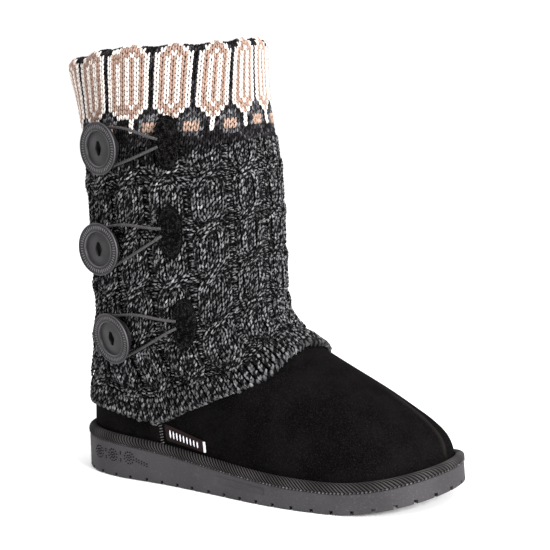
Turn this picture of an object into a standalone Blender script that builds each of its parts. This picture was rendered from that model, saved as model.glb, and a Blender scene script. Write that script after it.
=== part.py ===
"""A right mukluk boot: a low suede foot on a moulded sole, under a buttoned sweater-knit shaft.

Metres. +X points to the toe, -Y to the outer side of the foot and +Z up. The origin is on the
ground under the middle of the heel. Every piece is worked out from one skin, the outside of the
upper, which is a stack of closed outlines: skin(angle, height). The angle runs from the back of
the heel, 0, along the outer side to the toe, pi, and home along the inner side, 2 pi.
"""

import math

import bpy
import numpy as np
from mathutils import Matrix

# Sole
SOLE_LENGTH = 0.275
HEEL_WIDTH = 0.075
BALL_WIDTH = 0.100
TOE_INWARD = 0.0045
TOE_SPRING = 0.010
SOLE_HEEL_HEIGHT = 0.0232
SOLE_FORE_HEIGHT = 0.0128
SOLE_FLARE = 0.0008
SOLE_EDGE_ROUND = 0.0010
ARCH_RISE = 0.0016
HEEL_CENTRE = 0.040

# Tread
LUG_PITCH = 0.0135
NOTCH_WIDTH = 0.0026
NOTCH_HEIGHT = 0.0026
NOTCH_DEPTH = 0.010
GROOVE_WIDTH = 0.0030
GROOVE_DEPTH = 0.0018
GROOVE_MARGIN = 0.0050

# Rand, the bead round the seat of the upper
RAND_WIDTH = 0.0055
RAND_HEIGHT = 0.0058

# Upper
UPPER_WALL = 0.0020
COUNTER_STEP = 0.0005
INSTEP_HEIGHT = 0.110
COLLAR_HEIGHT = 0.2775
SHAFT_SETBACK = 0.0240
SHAFT_DEPTH = 0.1245
SHAFT_WIDTH = 0.1035
SHAFT_SQUARENESS = 2.15
VAMP_FULLNESS = 2.2
INSOLE_THICKNESS = 0.004
INSOLE_CLEARANCE = 0.0006

# Knitted sleeve
KNIT_CLEARANCE = 0.0005
KNIT_THICKNESS = 0.0032
CABLES = 14
CABLE_RELIEF = 0.0009
CABLE_PHASE = 0.35
HEM_HEIGHT = 0.0915
HEM_BAND = 0.014
HEM_FOLD = 0.0012
BAND_HEIGHT = 0.058
BAND_RELIEF = 0.0006
COLLAR_LIP = 0.010
COLLAR_LIP_WALL = 0.0022
COLLAR_ROLL = 0.0035

# Buttons, their loops and the patches that hold the loops
BUTTON_DIAMETER = 0.0345
BUTTON_RIM_THICKNESS = 0.0042
BUTTON_DISH_DEPTH = 0.0014
BUTTON_DISH_DIAMETER = 0.0215
BUTTON_BOSS_DIAMETER = 0.0220
BUTTON_BOSS_HEIGHT = 0.0042
BUTTON_SHANK_DIAMETER = 0.0080
SLOT_LENGTH = 0.0090
SLOT_WIDTH = 0.0024
LOOP_DIAMETER = 0.0019
LOOP_MOUTH = 0.0046
LOOP_LIFT = 0.0006
PATCH_LENGTH = 0.0335
PATCH_WIDTH = 0.0150
PATCH_THICKNESS = 0.0026

# Side tag
TAG_LENGTH = 0.0320
TAG_HEIGHT = 0.0090
TAG_THICKNESS = 0.0010
TAG_LIFT = 0.0008
TAG_LEAN = 0.0003
TAG_FACETS = 6

# Gap between pieces that touch
SEAT_GAP = 0.0003

# Facets
COLUMNS = 4 * CABLES
SOLE_FACETS = 72
BUTTON_FACETS = 20
LOOP_TURN_POINTS = 9
LOOP_RUN_POINTS = 4
PATCH_FACETS = 16

# Rows of facets in shares of a height: sole to hem, hem to the lip's edge, and hem to collar
FOOT_ROWS = (0.0, 0.08, 0.19, 0.32, 0.47, 0.64, 0.82)
SLEEVE_ROWS = (0.0, 0.05, 0.11, 0.19, 0.32, 0.57, 0.80, 1.0)
KNIT_ROWS = (0.02, 0.06, 0.10, 0.14, 0.20, 0.28, 0.40, 0.56, 0.73, 0.76, 0.88, 0.985)

# Outline of the sole. Widths are shares of the width between heel and ball at that station.
SOLE_PLAN = (
    # station, outer half, inner half
    (0.00, 0.000, 0.000),
    (0.02, 0.222, 0.222),
    (0.05, 0.335, 0.341),
    (0.10, 0.435, 0.447),
    (0.20, 0.500, 0.484),
    (0.30, 0.508, 0.445),
    (0.40, 0.502, 0.380),
    (0.50, 0.491, 0.363),
    (0.60, 0.493, 0.408),
    (0.70, 0.502, 0.472),
    (0.80, 0.490, 0.484),
    (0.90, 0.415, 0.405),
    (0.95, 0.313, 0.327),
    (0.98, 0.206, 0.224),
    (1.00, 0.000, 0.000),
)

# Cross-section of the rand, from its inner face at the sole, round its outside and back
RAND_SECTION = (
    # share of the way from the upper to the sole's edge, share of RAND_HEIGHT
    (0.00, 0.00),
    (0.85, 0.00),
    (0.97, 0.28),
    (0.95, 0.62),
    (0.72, 0.90),
    (0.40, 1.00),
    (0.00, 0.92),
)

# Side view of the foot. Heights are shares of INSTEP_HEIGHT. Back is the share of the way from
# the heel's seat to the back of the shaft, and front that from the front of the shaft to the toe.
FOOT_PROFILE = (
    # height, back, front
    (0.10, 0.00, 0.990),
    (0.23, 0.00, 1.000),
    (0.29, 0.01, 0.985),
    (0.36, 0.04, 0.950),
    (0.45, 0.10, 0.860),
    (0.54, 0.19, 0.730),
    (0.64, 0.33, 0.560),
    (0.73, 0.49, 0.380),
    (0.82, 0.66, 0.200),
    (0.91, 0.83, 0.070),
)

# Side view of the shaft. Heights are shares of the way from the instep to the collar, and the
# shifts are shares of SHAFT_DEPTH, forward from the shaft's own back and front.
SHAFT_PROFILE = (
    # height, back shift, front shift
    (0.00, 0.006, 0.012),
    (0.10, 0.012, 0.000),
    (0.25, 0.010, -0.004),
    (0.45, 0.014, -0.004),
    (0.65, 0.006, -0.028),
    (0.75, -0.008, -0.046),
    (0.85, -0.030, -0.058),
    (0.92, -0.055, -0.058),
    (1.05, -0.085, -0.052),
)

# Half widths of the shaft's oval at heights that are shares of COLLAR_HEIGHT
SHAFT_HALVES = (
    # height, share of half of SHAFT_WIDTH
    (0.07, 0.89),
    (0.22, 0.91),
    (0.33, 0.95),
    (0.44, 0.985),
    (0.62, 1.005),
    (0.84, 1.00),
    (1.05, 1.005),
)

# Lower edge of the sleeve, in shares of HEM_HEIGHT, at angles from the back as shares of a half turn
HEM_LINE = (
    # angle, height
    (0.00, 0.506),
    (0.19, 0.515),
    (0.35, 0.463),
    (0.45, 0.593),
    (0.56, 0.725),
    (0.72, 0.852),
    (0.88, 0.955),
    (1.00, 0.990),
)

# Top edge of the upper, in shares of COLLAR_HEIGHT, at angles from the back as shares of a half turn
COLLAR_LINE = (
    # angle, height
    (0.00, 0.980),
    (0.20, 0.982),
    (0.33, 0.987),
    (0.42, 0.998),
    (0.56, 1.006),
    (0.78, 1.006),
    (1.00, 1.012),
)

# Buttons and patches, by height as a share of COLLAR_HEIGHT and angle in degrees from the back
FASTENINGS = (
    # button height, button angle, turn to the front, button lift, patch height, patch angle
    (0.797, 75.5, 0.0, 0.0000, 0.805, 116.4),
    (0.569, 69.8, 10.0, 0.0019, 0.608, 113.6),
    (0.366, 72.4, 0.0, 0.0000, 0.399, 117.5),
)

# Degrees from the back along the outer side
TAG_ANGLE = 67.5
SEAM_ANGLE = 64.5


def smooth(value, start, end):
    """0 before start, 1 after end, and an even S between them."""
    t = np.clip((np.asarray(value, float) - start) / (end - start), 0.0, 1.0)
    return t * t * (3.0 - 2.0 * t)


def through(value, xs, ys):
    """The smooth curve through the points (xs, ys), with no overshoot between them."""
    xs = np.asarray(xs, float)
    ys = np.asarray(ys, float)
    width = np.diff(xs)
    rise = np.diff(ys) / width
    slope = np.zeros_like(ys)
    slope[0] = rise[0]
    slope[-1] = rise[-1]
    for i in range(1, len(ys) - 1):
        if rise[i - 1] * rise[i] > 0:
            near = 2.0 * width[i] + width[i - 1]
            far = width[i] + 2.0 * width[i - 1]
            slope[i] = (near + far) / (near / rise[i - 1] + far / rise[i])
    value = np.clip(value, xs[0], xs[-1])
    i = np.clip(np.searchsorted(xs, value, side="right") - 1, 0, len(width) - 1)
    t = (value - xs[i]) / width[i]
    low = ys[i] * (1.0 + 2.0 * t) * (1.0 - t) ** 2 + slope[i] * width[i] * t * (1.0 - t) ** 2
    high = ys[i + 1] * t * t * (3.0 - 2.0 * t) + slope[i + 1] * width[i] * t * t * (t - 1.0)
    return low + high


def turn_of(share):
    """The angle on a half circle over a share of its diameter, so that round ends stay round."""
    return np.arccos(np.clip(1.0 - 2.0 * np.asarray(share, float), -1.0, 1.0))


def column_of(table, index):
    return np.array([row[index] for row in table])


# Sole form, measured from the back of the heel


def width_at(station):
    return HEEL_WIDTH + (BALL_WIDTH - HEEL_WIDTH) * smooth(station, 0.25, 0.65)


def plan_half(station, outer):
    """Half width of the sole from its middle line on the outer or the inner side."""
    shares = np.where(
        outer,
        through(turn_of(station), turn_of(column_of(SOLE_PLAN, 0)), column_of(SOLE_PLAN, 1)),
        through(turn_of(station), turn_of(column_of(SOLE_PLAN, 0)), column_of(SOLE_PLAN, 2)),
    )
    return shares * width_at(station)


def middle_line(station):
    """Sideways place of the sole's middle line, which bends inward to the toe."""
    return TOE_INWARD * np.clip((np.asarray(station, float) - 0.6) / 0.4, 0.0, None) ** 2


def ground_clearance(station):
    """Height of the sole's underside, flat to the ball and then rising to the toe."""
    return TOE_SPRING * np.clip((np.asarray(station, float) - 0.76) / 0.24, 0.0, None) ** 1.9


def seat_height(station):
    """Height of the sole's top, where the rand, the upper and the insole sit."""
    drop = (SOLE_HEEL_HEIGHT - SOLE_FORE_HEIGHT) * smooth(station, 0.05, 0.75)
    return ground_clearance(station) + SOLE_HEEL_HEIGHT - drop


def station_at(x):
    return np.clip((x + HEEL_CENTRE) / SOLE_LENGTH, 0.0, 1.0)


# Skin of the upper

FEATHER = RAND_WIDTH + SEAT_GAP
HEEL_SEAT = FEATHER
TOE_SEAT = SOLE_LENGTH - FEATHER
SHAFT_FRONT = SHAFT_SETBACK + SHAFT_DEPTH


def profile_rows():
    """Height, back and front of the upper in side view, from the two profile tables."""
    rows = []
    for height, back, front in FOOT_PROFILE:
        back_x = HEEL_SEAT + back * (SHAFT_SETBACK - HEEL_SEAT)
        rows.append((height * INSTEP_HEIGHT, back_x, SHAFT_FRONT + front * (TOE_SEAT - SHAFT_FRONT)))
    for height, back, front in SHAFT_PROFILE:
        level = INSTEP_HEIGHT + height * (COLLAR_HEIGHT - INSTEP_HEIGHT)
        rows.append((level, SHAFT_SETBACK + back * SHAFT_DEPTH, SHAFT_FRONT + front * SHAFT_DEPTH))
    return np.array(rows)


PROFILE = profile_rows()
VAMP_LEVELS = np.linspace(INSTEP_HEIGHT * 1.12, INSTEP_HEIGHT * 0.24, 600)
VAMP_REACH = through(VAMP_LEVELS, PROFILE[:, 0], PROFILE[:, 2])


def skin(angle, height):
    """A point of the upper's outside, as an array of x, y and z."""
    angle, height = np.broadcast_arrays(np.asarray(angle, float) % (2.0 * math.pi), height)
    outer = angle <= math.pi
    back = through(height, PROFILE[:, 0], PROFILE[:, 1])
    front = through(height, PROFILE[:, 0], PROFILE[:, 2])
    along = (1.0 - np.cos(angle)) / 2.0
    x = back + along * (front - back)

    # The foot follows the sole's plan, narrowed to its seat and domed under the vamp
    foot_length = TOE_SEAT - HEEL_SEAT
    station = np.clip((x - HEEL_SEAT) / foot_length, 0.0, 1.0)
    narrowed = 1.0 - 2.0 * FEATHER / width_at(station)
    from_toe = plan_half(station, outer)
    from_heel = plan_half(np.clip((x - back) / foot_length, 0.0, 1.0), outer)
    heelward = smooth(x, 0.0, 0.22 * SOLE_LENGTH)
    half = narrowed * (from_heel + (from_toe - from_heel) * heelward)
    vamp_top = np.interp(x, VAMP_REACH, VAMP_LEVELS)
    seat = seat_height(station)
    rise = np.clip((height - seat) / np.maximum(vamp_top - seat, 1e-4), 0.0, 1.0)
    dome = (1.0 - rise**VAMP_FULLNESS) ** (1.0 / VAMP_FULLNESS)
    half = half * (1.0 + (dome - 1.0) * smooth(station, 0.3, 0.62))

    # The shaft is an oval, into which the foot runs below the instep
    level = height / COLLAR_HEIGHT
    oval_half = 0.5 * SHAFT_WIDTH * through(level, column_of(SHAFT_HALVES, 0), column_of(SHAFT_HALVES, 1))
    oval = oval_half * (1.0 - np.abs(2.0 * along - 1.0) ** SHAFT_SQUARENESS) ** (1.0 / SHAFT_SQUARENESS)
    shaft = smooth(height, 0.32 * INSTEP_HEIGHT, 0.95 * INSTEP_HEIGHT)
    half = half + (oval - half) * shaft
    y = middle_line(station) * (1.0 - shaft) + np.where(outer, -half, half)
    return np.stack([x - HEEL_CENTRE, y, height], axis=-1)


def outward(angle, height):
    """The skin's unit normal, pointing out."""
    step = 0.03
    lift = 5e-4
    across = skin(angle + step, height) - skin(angle - step, height)
    up = skin(angle, height + lift) - skin(angle, height - lift)
    normal = np.cross(across, up)
    return normal / np.linalg.norm(normal, axis=-1, keepdims=True)


def on_skin(angle, height, offset):
    """A point at this distance outside the skin, or inside it where the distance is negative."""
    angle, height, offset = np.broadcast_arrays(angle, height, offset)
    return skin(angle, height) + outward(angle, height) * offset[..., None]


def even_angles(count):
    """Angles at even distances round the shaft, the same on both sides."""
    fine = np.linspace(0.0, math.pi, 721)
    ring = skin(fine, np.full(fine.shape, 0.7 * COLLAR_HEIGHT))
    walked = np.concatenate([[0.0], np.cumsum(np.linalg.norm(np.diff(ring, axis=0), axis=1))])
    half = np.interp(np.linspace(0.0, walked[-1], count // 2 + 1), walked, fine)
    return np.concatenate([half, 2.0 * math.pi - half[-2:0:-1]])


ANGLES = even_angles(COLUMNS)


def folded_turn(angle):
    """The angle from the back along either side, as a share of a half turn."""
    return np.arccos(np.cos(angle)) / math.pi


def collar_height(angle):
    """The upper's top edge, which dips at the back."""
    turn = folded_turn(angle)
    return COLLAR_HEIGHT * through(turn, column_of(COLLAR_LINE, 0), column_of(COLLAR_LINE, 1))


def seat_under(angle):
    """Height of the sole's top below the skin at this angle."""
    level = np.full(np.shape(angle), SOLE_HEEL_HEIGHT)
    for _ in range(4):
        level = seat_height(station_at(skin(angle, level)[..., 0]))
    return level


def hem_height(angle):
    return HEM_HEIGHT * through(folded_turn(angle), column_of(HEM_LINE, 0), column_of(HEM_LINE, 1))


# Meshes


def new_object(name, vertices, faces, material, sharp=35.0):
    mesh = bpy.data.meshes.new(name)
    mesh.from_pydata([tuple(v) for v in vertices], [], faces)
    mesh.materials.append(material)
    mesh.shade_smooth()
    mesh.set_sharp_from_angle(angle=math.radians(sharp))
    item = bpy.data.objects.new(name, mesh)
    bpy.context.scene.collection.objects.link(item)
    return item


def principled(name, colour, roughness, metallic=0.0):
    material = bpy.data.materials.new(name)
    material.use_nodes = True
    shader = material.node_tree.nodes["Principled BSDF"]
    shader.inputs["Base Color"].default_value = (*colour, 1.0)
    shader.inputs["Roughness"].default_value = roughness
    shader.inputs["Metallic"].default_value = metallic
    return material


def band_faces(vertices, rows, columns, closed_rows=False):
    """Triangles of a grid that is closed across its columns, and across its rows if asked.

    Each quad is split from its lower corner to the upper one ahead of it, whichever way the rows
    run, so that two walls with the same rows stay parallel.
    """
    faces = []
    for i in range(rows if closed_rows else rows - 1):
        for j in range(columns):
            k = (j + 1) % columns
            near = i * columns
            far = ((i + 1) % rows) * columns
            a, b, c, d = near + j, near + k, far + k, far + j
            if vertices[d][2] >= vertices[a][2]:
                faces += [(a, b, c), (a, c, d)]
            else:
                faces += [(a, b, d), (b, c, d)]
    return faces


def across_faces(first, columns, flip=False):
    """Strips that close a ring of mirrored columns, from its outer to its inner side."""
    faces = []
    half = columns // 2
    for j in range(half):
        outer, ahead = first + j, first + j + 1
        inner, beyond = first + (columns - j) % columns, first + columns - j - 1
        if j == 0:
            face = (outer, ahead, beyond)
        elif j == half - 1:
            face = (outer, ahead, inner)
        else:
            face = (outer, ahead, beyond, inner)
        faces.append(tuple(reversed(face)) if flip else face)
    return faces


def tube_of_rings(name, rings, material, sharp=35.0):
    """A ring-shaped solid whose cross-section is the closed loop of the rings."""
    rows, columns = len(rings), len(rings[0])
    vertices = np.concatenate(rings)
    faces = band_faces(vertices, rows, columns, closed_rows=True)
    return new_object(name, vertices, faces, material, sharp)


def plug_of_rings(name, rings, material, sharp=35.0):
    """A solid with rings for its side, and its first and last ring closed by strips."""
    rows, columns = len(rings), len(rings[0])
    vertices = np.concatenate(rings)
    faces = band_faces(vertices, rows, columns)
    faces += across_faces(0, columns, flip=True)
    faces += across_faces((rows - 1) * columns, columns)
    return new_object(name, vertices, faces, material, sharp)


def cut(item, cutter):
    """Cuts the shape of one object out of another with a Boolean."""
    cutter.hide_render = True
    cutter.display_type = "WIRE"
    modifier = item.modifiers.new("cut", "BOOLEAN")
    modifier.operation = "DIFFERENCE"
    modifier.solver = "EXACT"
    modifier.object = cutter


def boxes_object(name, boxes, material):
    """Separate boxes in one mesh. Each is a corner, three edge vectors."""
    vertices = []
    faces = []
    sides = ((0, 2, 3, 1), (4, 5, 7, 6), (0, 1, 5, 4), (2, 6, 7, 3), (0, 4, 6, 2), (1, 3, 7, 5))
    for corner, a, b, c in boxes:
        first = len(vertices)
        for i in range(8):
            vertices.append(corner + a * (i & 1) + b * ((i >> 1) & 1) + c * ((i >> 2) & 1))
        faces += [tuple(first + v for v in side) for side in sides]
    return new_object(name, vertices, faces, material)


# Sole


def sole_ring(count, inset, height_of):
    """The sole's outline, drawn in by an inset, at a height worked out from the station."""
    angle = np.linspace(0.0, 2.0 * math.pi, count, endpoint=False)
    station = (1.0 - np.cos(angle)) / 2.0
    outer = angle <= math.pi
    half = plan_half(station, outer)
    y = middle_line(station) + np.where(outer, -half, half)
    ring = np.column_stack([station * SOLE_LENGTH - HEEL_CENTRE, y])
    along = np.roll(ring, -1, axis=0) - np.roll(ring, 1, axis=0)
    normal = np.column_stack([along[:, 1], -along[:, 0]])
    normal /= np.linalg.norm(normal, axis=1)[:, None]
    ring = ring - normal * inset
    return np.column_stack([ring, height_of(station_at(ring[:, 0]))]), normal


def sole_body(material):
    """The sole before its tread is cut: underside, rounded edge, flared side and flat seat."""

    def lifted(station):
        return ground_clearance(station) + SOLE_EDGE_ROUND

    under, _ = sole_ring(SOLE_FACETS, SOLE_EDGE_ROUND, ground_clearance)
    edge, _ = sole_ring(SOLE_FACETS, 0.0, lifted)
    top, _ = sole_ring(SOLE_FACETS, SOLE_FLARE, seat_height)
    rows = [under, edge, top]
    columns = SOLE_FACETS
    vertices = list(np.concatenate(rows))
    faces = band_faces(vertices, len(rows), columns)
    faces += across_faces((len(rows) - 1) * columns, columns)

    # The underside has a middle line of points, raised at the arch
    half = columns // 2
    first_middle = len(vertices)
    for j in range(1, half):
        middle = (under[j] + under[columns - j]) / 2.0
        station = float(station_at(middle[0]))
        arch = float(smooth(station, 0.30, 0.42) * (1.0 - smooth(station, 0.48, 0.60)))
        vertices.append(middle + np.array([0.0, 0.0, ARCH_RISE * arch]))
    for side in (1, -1):
        for j in range(half):
            a = j if side == 1 else (columns - j) % columns
            b = j + 1 if side == 1 else columns - j - 1
            ring_points = [a, b]
            middle_points = [first_middle + k - 1 for k in (j + 1, j) if 0 < k < half]
            face = tuple(ring_points + middle_points)
            faces.append(tuple(reversed(face)) if side == 1 else face)
    return new_object("outsole", vertices, faces, material)


def edge_notches():
    """Boxes for the notches that part the lugs all round the sole's lower edge."""
    ring, normal = sole_ring(720, 0.0, ground_clearance)
    loop = np.vstack([ring, ring[:1]])
    walked = np.concatenate([[0.0], np.cumsum(np.linalg.norm(np.diff(loop, axis=0), axis=1))])
    count = round(walked[-1] / LUG_PITCH)
    boxes = []
    for i in range(count):
        place = (i + 0.5) * walked[-1] / count
        k = int(np.searchsorted(walked, place)) % len(ring)
        out = np.array([*normal[k], 0.0])
        side = np.array([-out[1], out[0], 0.0])
        low = np.array([ring[k][0], ring[k][1], -NOTCH_HEIGHT])
        corner = low + out * NOTCH_HEIGHT + side * NOTCH_WIDTH / 2.0
        tall = np.array([0.0, 0.0, ring[k][2] + 2.0 * NOTCH_HEIGHT])
        boxes.append((corner, -out * (NOTCH_DEPTH + NOTCH_HEIGHT), -side * NOTCH_WIDTH, tall))
    return boxes


def tread_grooves():
    """Boxes for the cross grooves between the lugs of the heel and of the ball."""
    boxes = []
    for start, end in ((0.10, 0.29), (0.58, 0.86)):
        count = int((end - start) * SOLE_LENGTH / LUG_PITCH)
        for i in range(count + 1):
            station = start + (end - start) * i / count
            margin = NOTCH_DEPTH + GROOVE_MARGIN
            outer = float(plan_half(station, True)) - margin
            inner = float(plan_half(station, False)) - margin
            middle = float(middle_line(station))
            x = station * SOLE_LENGTH - HEEL_CENTRE - GROOVE_WIDTH / 2.0
            base = float(ground_clearance(station))
            corner = np.array([x, middle - outer, -GROOVE_DEPTH])
            wide = np.array([0.0, outer + inner, 0.0])
            tall = np.array([0.0, 0.0, base + 2.0 * GROOVE_DEPTH])
            boxes.append((corner, np.array([GROOVE_WIDTH, 0.0, 0.0]), wide, tall))
    return boxes


def make_outsole(material):
    body = sole_body(material)
    cut(body, boxes_object("tread_cutter", edge_notches() + tread_grooves(), material))
    return body


# Rand, upper and insole


def make_rand(material):
    """A bead whose inner face follows the upper and whose outer face is flush with the sole."""
    seat = seat_under(ANGLES)
    station = (1.0 - np.cos(ANGLES)) / 2.0
    outer = ANGLES <= math.pi
    half = plan_half(station, outer)
    edge_y = middle_line(station) + np.where(outer, -half, half)
    edge = np.column_stack([station * SOLE_LENGTH - HEEL_CENTRE, edge_y])
    rings = []
    for reach, share in RAND_SECTION:
        level = seat + SEAT_GAP + share * RAND_HEIGHT
        inner = on_skin(ANGLES, level, SEAT_GAP)
        plan = inner[:, :2] + (edge - inner[:, :2]) * reach
        height = seat_height(station_at(plan[:, 0])) + SEAT_GAP + share * RAND_HEIGHT
        rings.append(np.column_stack([plan, height]))
    return tube_of_rings("rand", rings, material)


def sleeve_levels(angle):
    """Heights of the rows that the upper and the inside of the sleeve share, hem to collar."""
    hem = hem_height(angle)
    rim = collar_height(angle)
    return [hem + share * (rim - COLLAR_LIP - hem) for share in SLEEVE_ROWS] + [rim]


def upper_levels(angle):
    """Heights of the upper's rows, close at the toe wall and the same as the sleeve's above."""
    seat = seat_under(angle) + SEAT_GAP
    hem = hem_height(angle)
    return [seat + share * (hem - seat) for share in FOOT_ROWS] + sleeve_levels(angle)


def counter_step(angle):
    """Extra wall of the heel counter, which ends in a step at each side seam."""
    turn = 180.0 * folded_turn(angle)
    return COUNTER_STEP * (1.0 - smooth(turn, SEAM_ANGLE - 2.0, SEAM_ANGLE + 2.0))


def make_upper(material):
    levels = upper_levels(ANGLES)
    rings = []
    for level in levels:
        below_sleeve = 1.0 - smooth(level, 0.32 * INSTEP_HEIGHT, 0.40 * INSTEP_HEIGHT)
        above_rand = smooth(level - seat_under(ANGLES), RAND_HEIGHT, 1.4 * RAND_HEIGHT)
        rings.append(on_skin(ANGLES, level, counter_step(ANGLES) * below_sleeve * above_rand))
    for level in reversed(levels):
        rings.append(on_skin(ANGLES, level, -UPPER_WALL))
    return tube_of_rings("upper", rings, material)


def make_insole(material):
    seat = seat_under(ANGLES) + SEAT_GAP
    inset = -(UPPER_WALL + INSOLE_CLEARANCE)
    rings = []
    for share, extra in ((0.0, 0.0), (0.75, 0.0), (1.0, -0.0008)):
        ring = on_skin(ANGLES, seat + share * INSOLE_THICKNESS, inset + extra)
        station = station_at(ring[:, 0])
        ring[:, 2] = seat_height(station) + SEAT_GAP + share * INSOLE_THICKNESS
        rings.append(ring)
    return plug_of_rings("insole", rings, material)


# Knitted sleeve


def column_at(angle):
    """The sleeve's column at an angle, with the share of the way to the next one."""
    return np.interp(angle, np.append(ANGLES, 2.0 * math.pi), np.arange(COLUMNS + 1))


def knit_offset(angle, height):
    """Outside of the knit: cable ridges, a folded hem and the patterned band at the top."""
    hem = hem_height(angle)
    top = collar_height(angle)
    fold = HEM_FOLD * (1.0 - smooth(height, hem + HEM_BAND, hem + 1.35 * HEM_BAND))
    band = smooth(height, top - BAND_HEIGHT, top - 0.92 * BAND_HEIGHT)
    plain = np.clip(fold / HEM_FOLD + band, 0.0, 1.0)
    wave = np.cos(2.0 * math.pi * (CABLES * column_at(angle) / COLUMNS - CABLE_PHASE))
    relief = CABLE_RELIEF * wave * (1.0 - plain) + BAND_RELIEF * band + fold
    return KNIT_CLEARANCE + KNIT_THICKNESS + relief


def make_sleeve(material):
    """A wall round the shaft whose top folds over the collar and ends in a lip inside it."""
    angle = ANGLES
    hem = hem_height(angle)
    rim = collar_height(angle)
    crown = rim + KNIT_CLEARANCE + COLLAR_ROLL
    rows = [(level, np.full(COLUMNS, KNIT_CLEARANCE)) for level in sleeve_levels(angle)[:-1]]
    rows.append((rim + KNIT_CLEARANCE, np.full(COLUMNS, KNIT_CLEARANCE)))
    lip_face = -(UPPER_WALL + KNIT_CLEARANCE)
    lip_back = lip_face - COLLAR_LIP_WALL
    rows.append((rim + KNIT_CLEARANCE, np.full(COLUMNS, lip_face)))
    rows.append((rim - COLLAR_LIP, np.full(COLUMNS, lip_face)))
    rows.append((rim - COLLAR_LIP, np.full(COLUMNS, lip_back)))
    rows.append((rim, np.full(COLUMNS, lip_back)))
    middle = (lip_back + KNIT_CLEARANCE + KNIT_THICKNESS) / 2.0
    rows.append((crown - 0.2 * COLLAR_ROLL, np.full(COLUMNS, 0.7 * lip_back + 0.3 * middle)))
    rows.append((crown, np.full(COLUMNS, middle)))
    reach = KNIT_CLEARANCE + KNIT_THICKNESS + BAND_RELIEF
    rows.append((crown - 0.25 * COLLAR_ROLL, np.full(COLUMNS, 0.75 * reach + 0.25 * middle)))
    for share in reversed(KNIT_ROWS):
        level = hem + share * (rim - hem)
        rows.append((level, knit_offset(angle, level)))
    rows.append((hem - 0.0006, np.full(COLUMNS, KNIT_CLEARANCE + 0.5 * (KNIT_THICKNESS + HEM_FOLD))))
    rings = [on_skin(angle, level, offset) for level, offset in rows]
    rings.reverse()
    return tube_of_rings("knit_sleeve", rings, material, sharp=60.0)


# Buttons, loops and patches

KNIT_FACE = KNIT_CLEARANCE + KNIT_THICKNESS + CABLE_RELIEF


def arc_scale(angle, height):
    """Metres along the knit's face for each radian of angle."""
    step = 1e-3
    ahead = on_skin(angle + step, height, KNIT_FACE)
    behind = on_skin(angle - step, height, KNIT_FACE)
    return float(np.linalg.norm(ahead - behind)) / (2.0 * step)


def angle_over(x, height):
    """The angle on the outer side where the skin reaches x at this height."""
    back = through(height, PROFILE[:, 0], PROFILE[:, 1]) - HEEL_CENTRE
    front = through(height, PROFILE[:, 0], PROFILE[:, 2]) - HEEL_CENTRE
    return float(turn_of((x - back) / (front - back)))


def near_face(angle, height, sideways, up, offset):
    """A point off the knit's face at distances from a centre, along it and straight up it."""
    level = skin(angle + sideways / arc_scale(angle, height), height)
    return on_skin(angle_over(level[0], height + up), height + up, KNIT_FACE + offset)


def button_profile(drop):
    """Radius and height above the boss's foot, from the shank's end to the front of the dish."""
    rim = BUTTON_DIAMETER / 2.0
    dish = BUTTON_DISH_DIAMETER / 2.0
    boss = BUTTON_BOSS_DIAMETER / 2.0
    shank = BUTTON_SHANK_DIAMETER / 2.0
    back = BUTTON_BOSS_HEIGHT
    face = back + BUTTON_RIM_THICKNESS
    return (
        (shank, -drop),
        (shank, 0.0),
        (boss, 0.0),
        (boss, back),
        (0.93 * rim, back),
        (rim, back + 0.30 * BUTTON_RIM_THICKNESS),
        (rim, back + 0.72 * BUTTON_RIM_THICKNESS),
        (0.95 * rim, face),
        (1.12 * dish, face - 0.12 * BUTTON_DISH_DEPTH),
        (dish, face - BUTTON_DISH_DEPTH),
    )


def make_button(name, height, angle, turn, lift, material):
    """A turned disc on a boss and a shank that reaches the knit, cut by an upright slot."""
    turned = math.radians(turn)
    levels = height + BUTTON_SHANK_DIAMETER * np.array([-1.0, 0.0, 1.0])
    sunk = KNIT_FACE - float(np.max(knit_offset(angle, levels)))
    profile = button_profile(sunk + lift - BUTTON_SHANK_DIAMETER / 2.0 * math.sin(turned))
    vertices = []
    for radius, level in profile:
        for i in range(BUTTON_FACETS):
            around = 2.0 * math.pi * i / BUTTON_FACETS
            vertices.append((radius * math.cos(around), radius * math.sin(around), level))
    faces = band_faces(vertices, len(profile), BUTTON_FACETS)
    faces.append(tuple(reversed(range(BUTTON_FACETS))))
    last = (len(profile) - 1) * BUTTON_FACETS
    faces.append(tuple(last + i for i in range(BUTTON_FACETS)))
    button = new_object(name, vertices, faces, material)

    corner = np.array([-SLOT_WIDTH / 2.0, -SLOT_LENGTH / 2.0, BUTTON_BOSS_HEIGHT])
    edges = (np.array([SLOT_WIDTH, 0.0, 0.0]), np.array([0.0, SLOT_LENGTH, 0.0]))
    tall = np.array([0.0, 0.0, 2.0 * BUTTON_RIM_THICKNESS])
    slot = boxes_object(name + "_slot_cutter", [(corner, *edges, tall)], material)

    out = outward(angle, height)
    ahead = np.array([-out[1], out[0], 0.0])
    ahead /= np.linalg.norm(ahead)
    face = out * math.cos(turned) + ahead * math.sin(turned)
    face /= np.linalg.norm(face)
    level_axis = np.cross(np.array([0.0, 0.0, 1.0]), face)
    level_axis /= np.linalg.norm(level_axis)
    upright = np.cross(face, level_axis)
    place = on_skin(angle, height, KNIT_FACE + SEAT_GAP + lift)
    turned_to = Matrix(np.column_stack([level_axis, upright, face]).tolist()).to_4x4()
    for item in (button, slot):
        item.matrix_world = Matrix.Translation(place.tolist()) @ turned_to
    cut(button, slot)
    return button


def patch_half_width(up):
    """Half width of the oval at a distance above its middle."""
    share = min(abs(up) / (PATCH_LENGTH / 2.0), 1.0)
    return PATCH_WIDTH / 2.0 * math.sqrt(1.0 - share**2.4)


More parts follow.
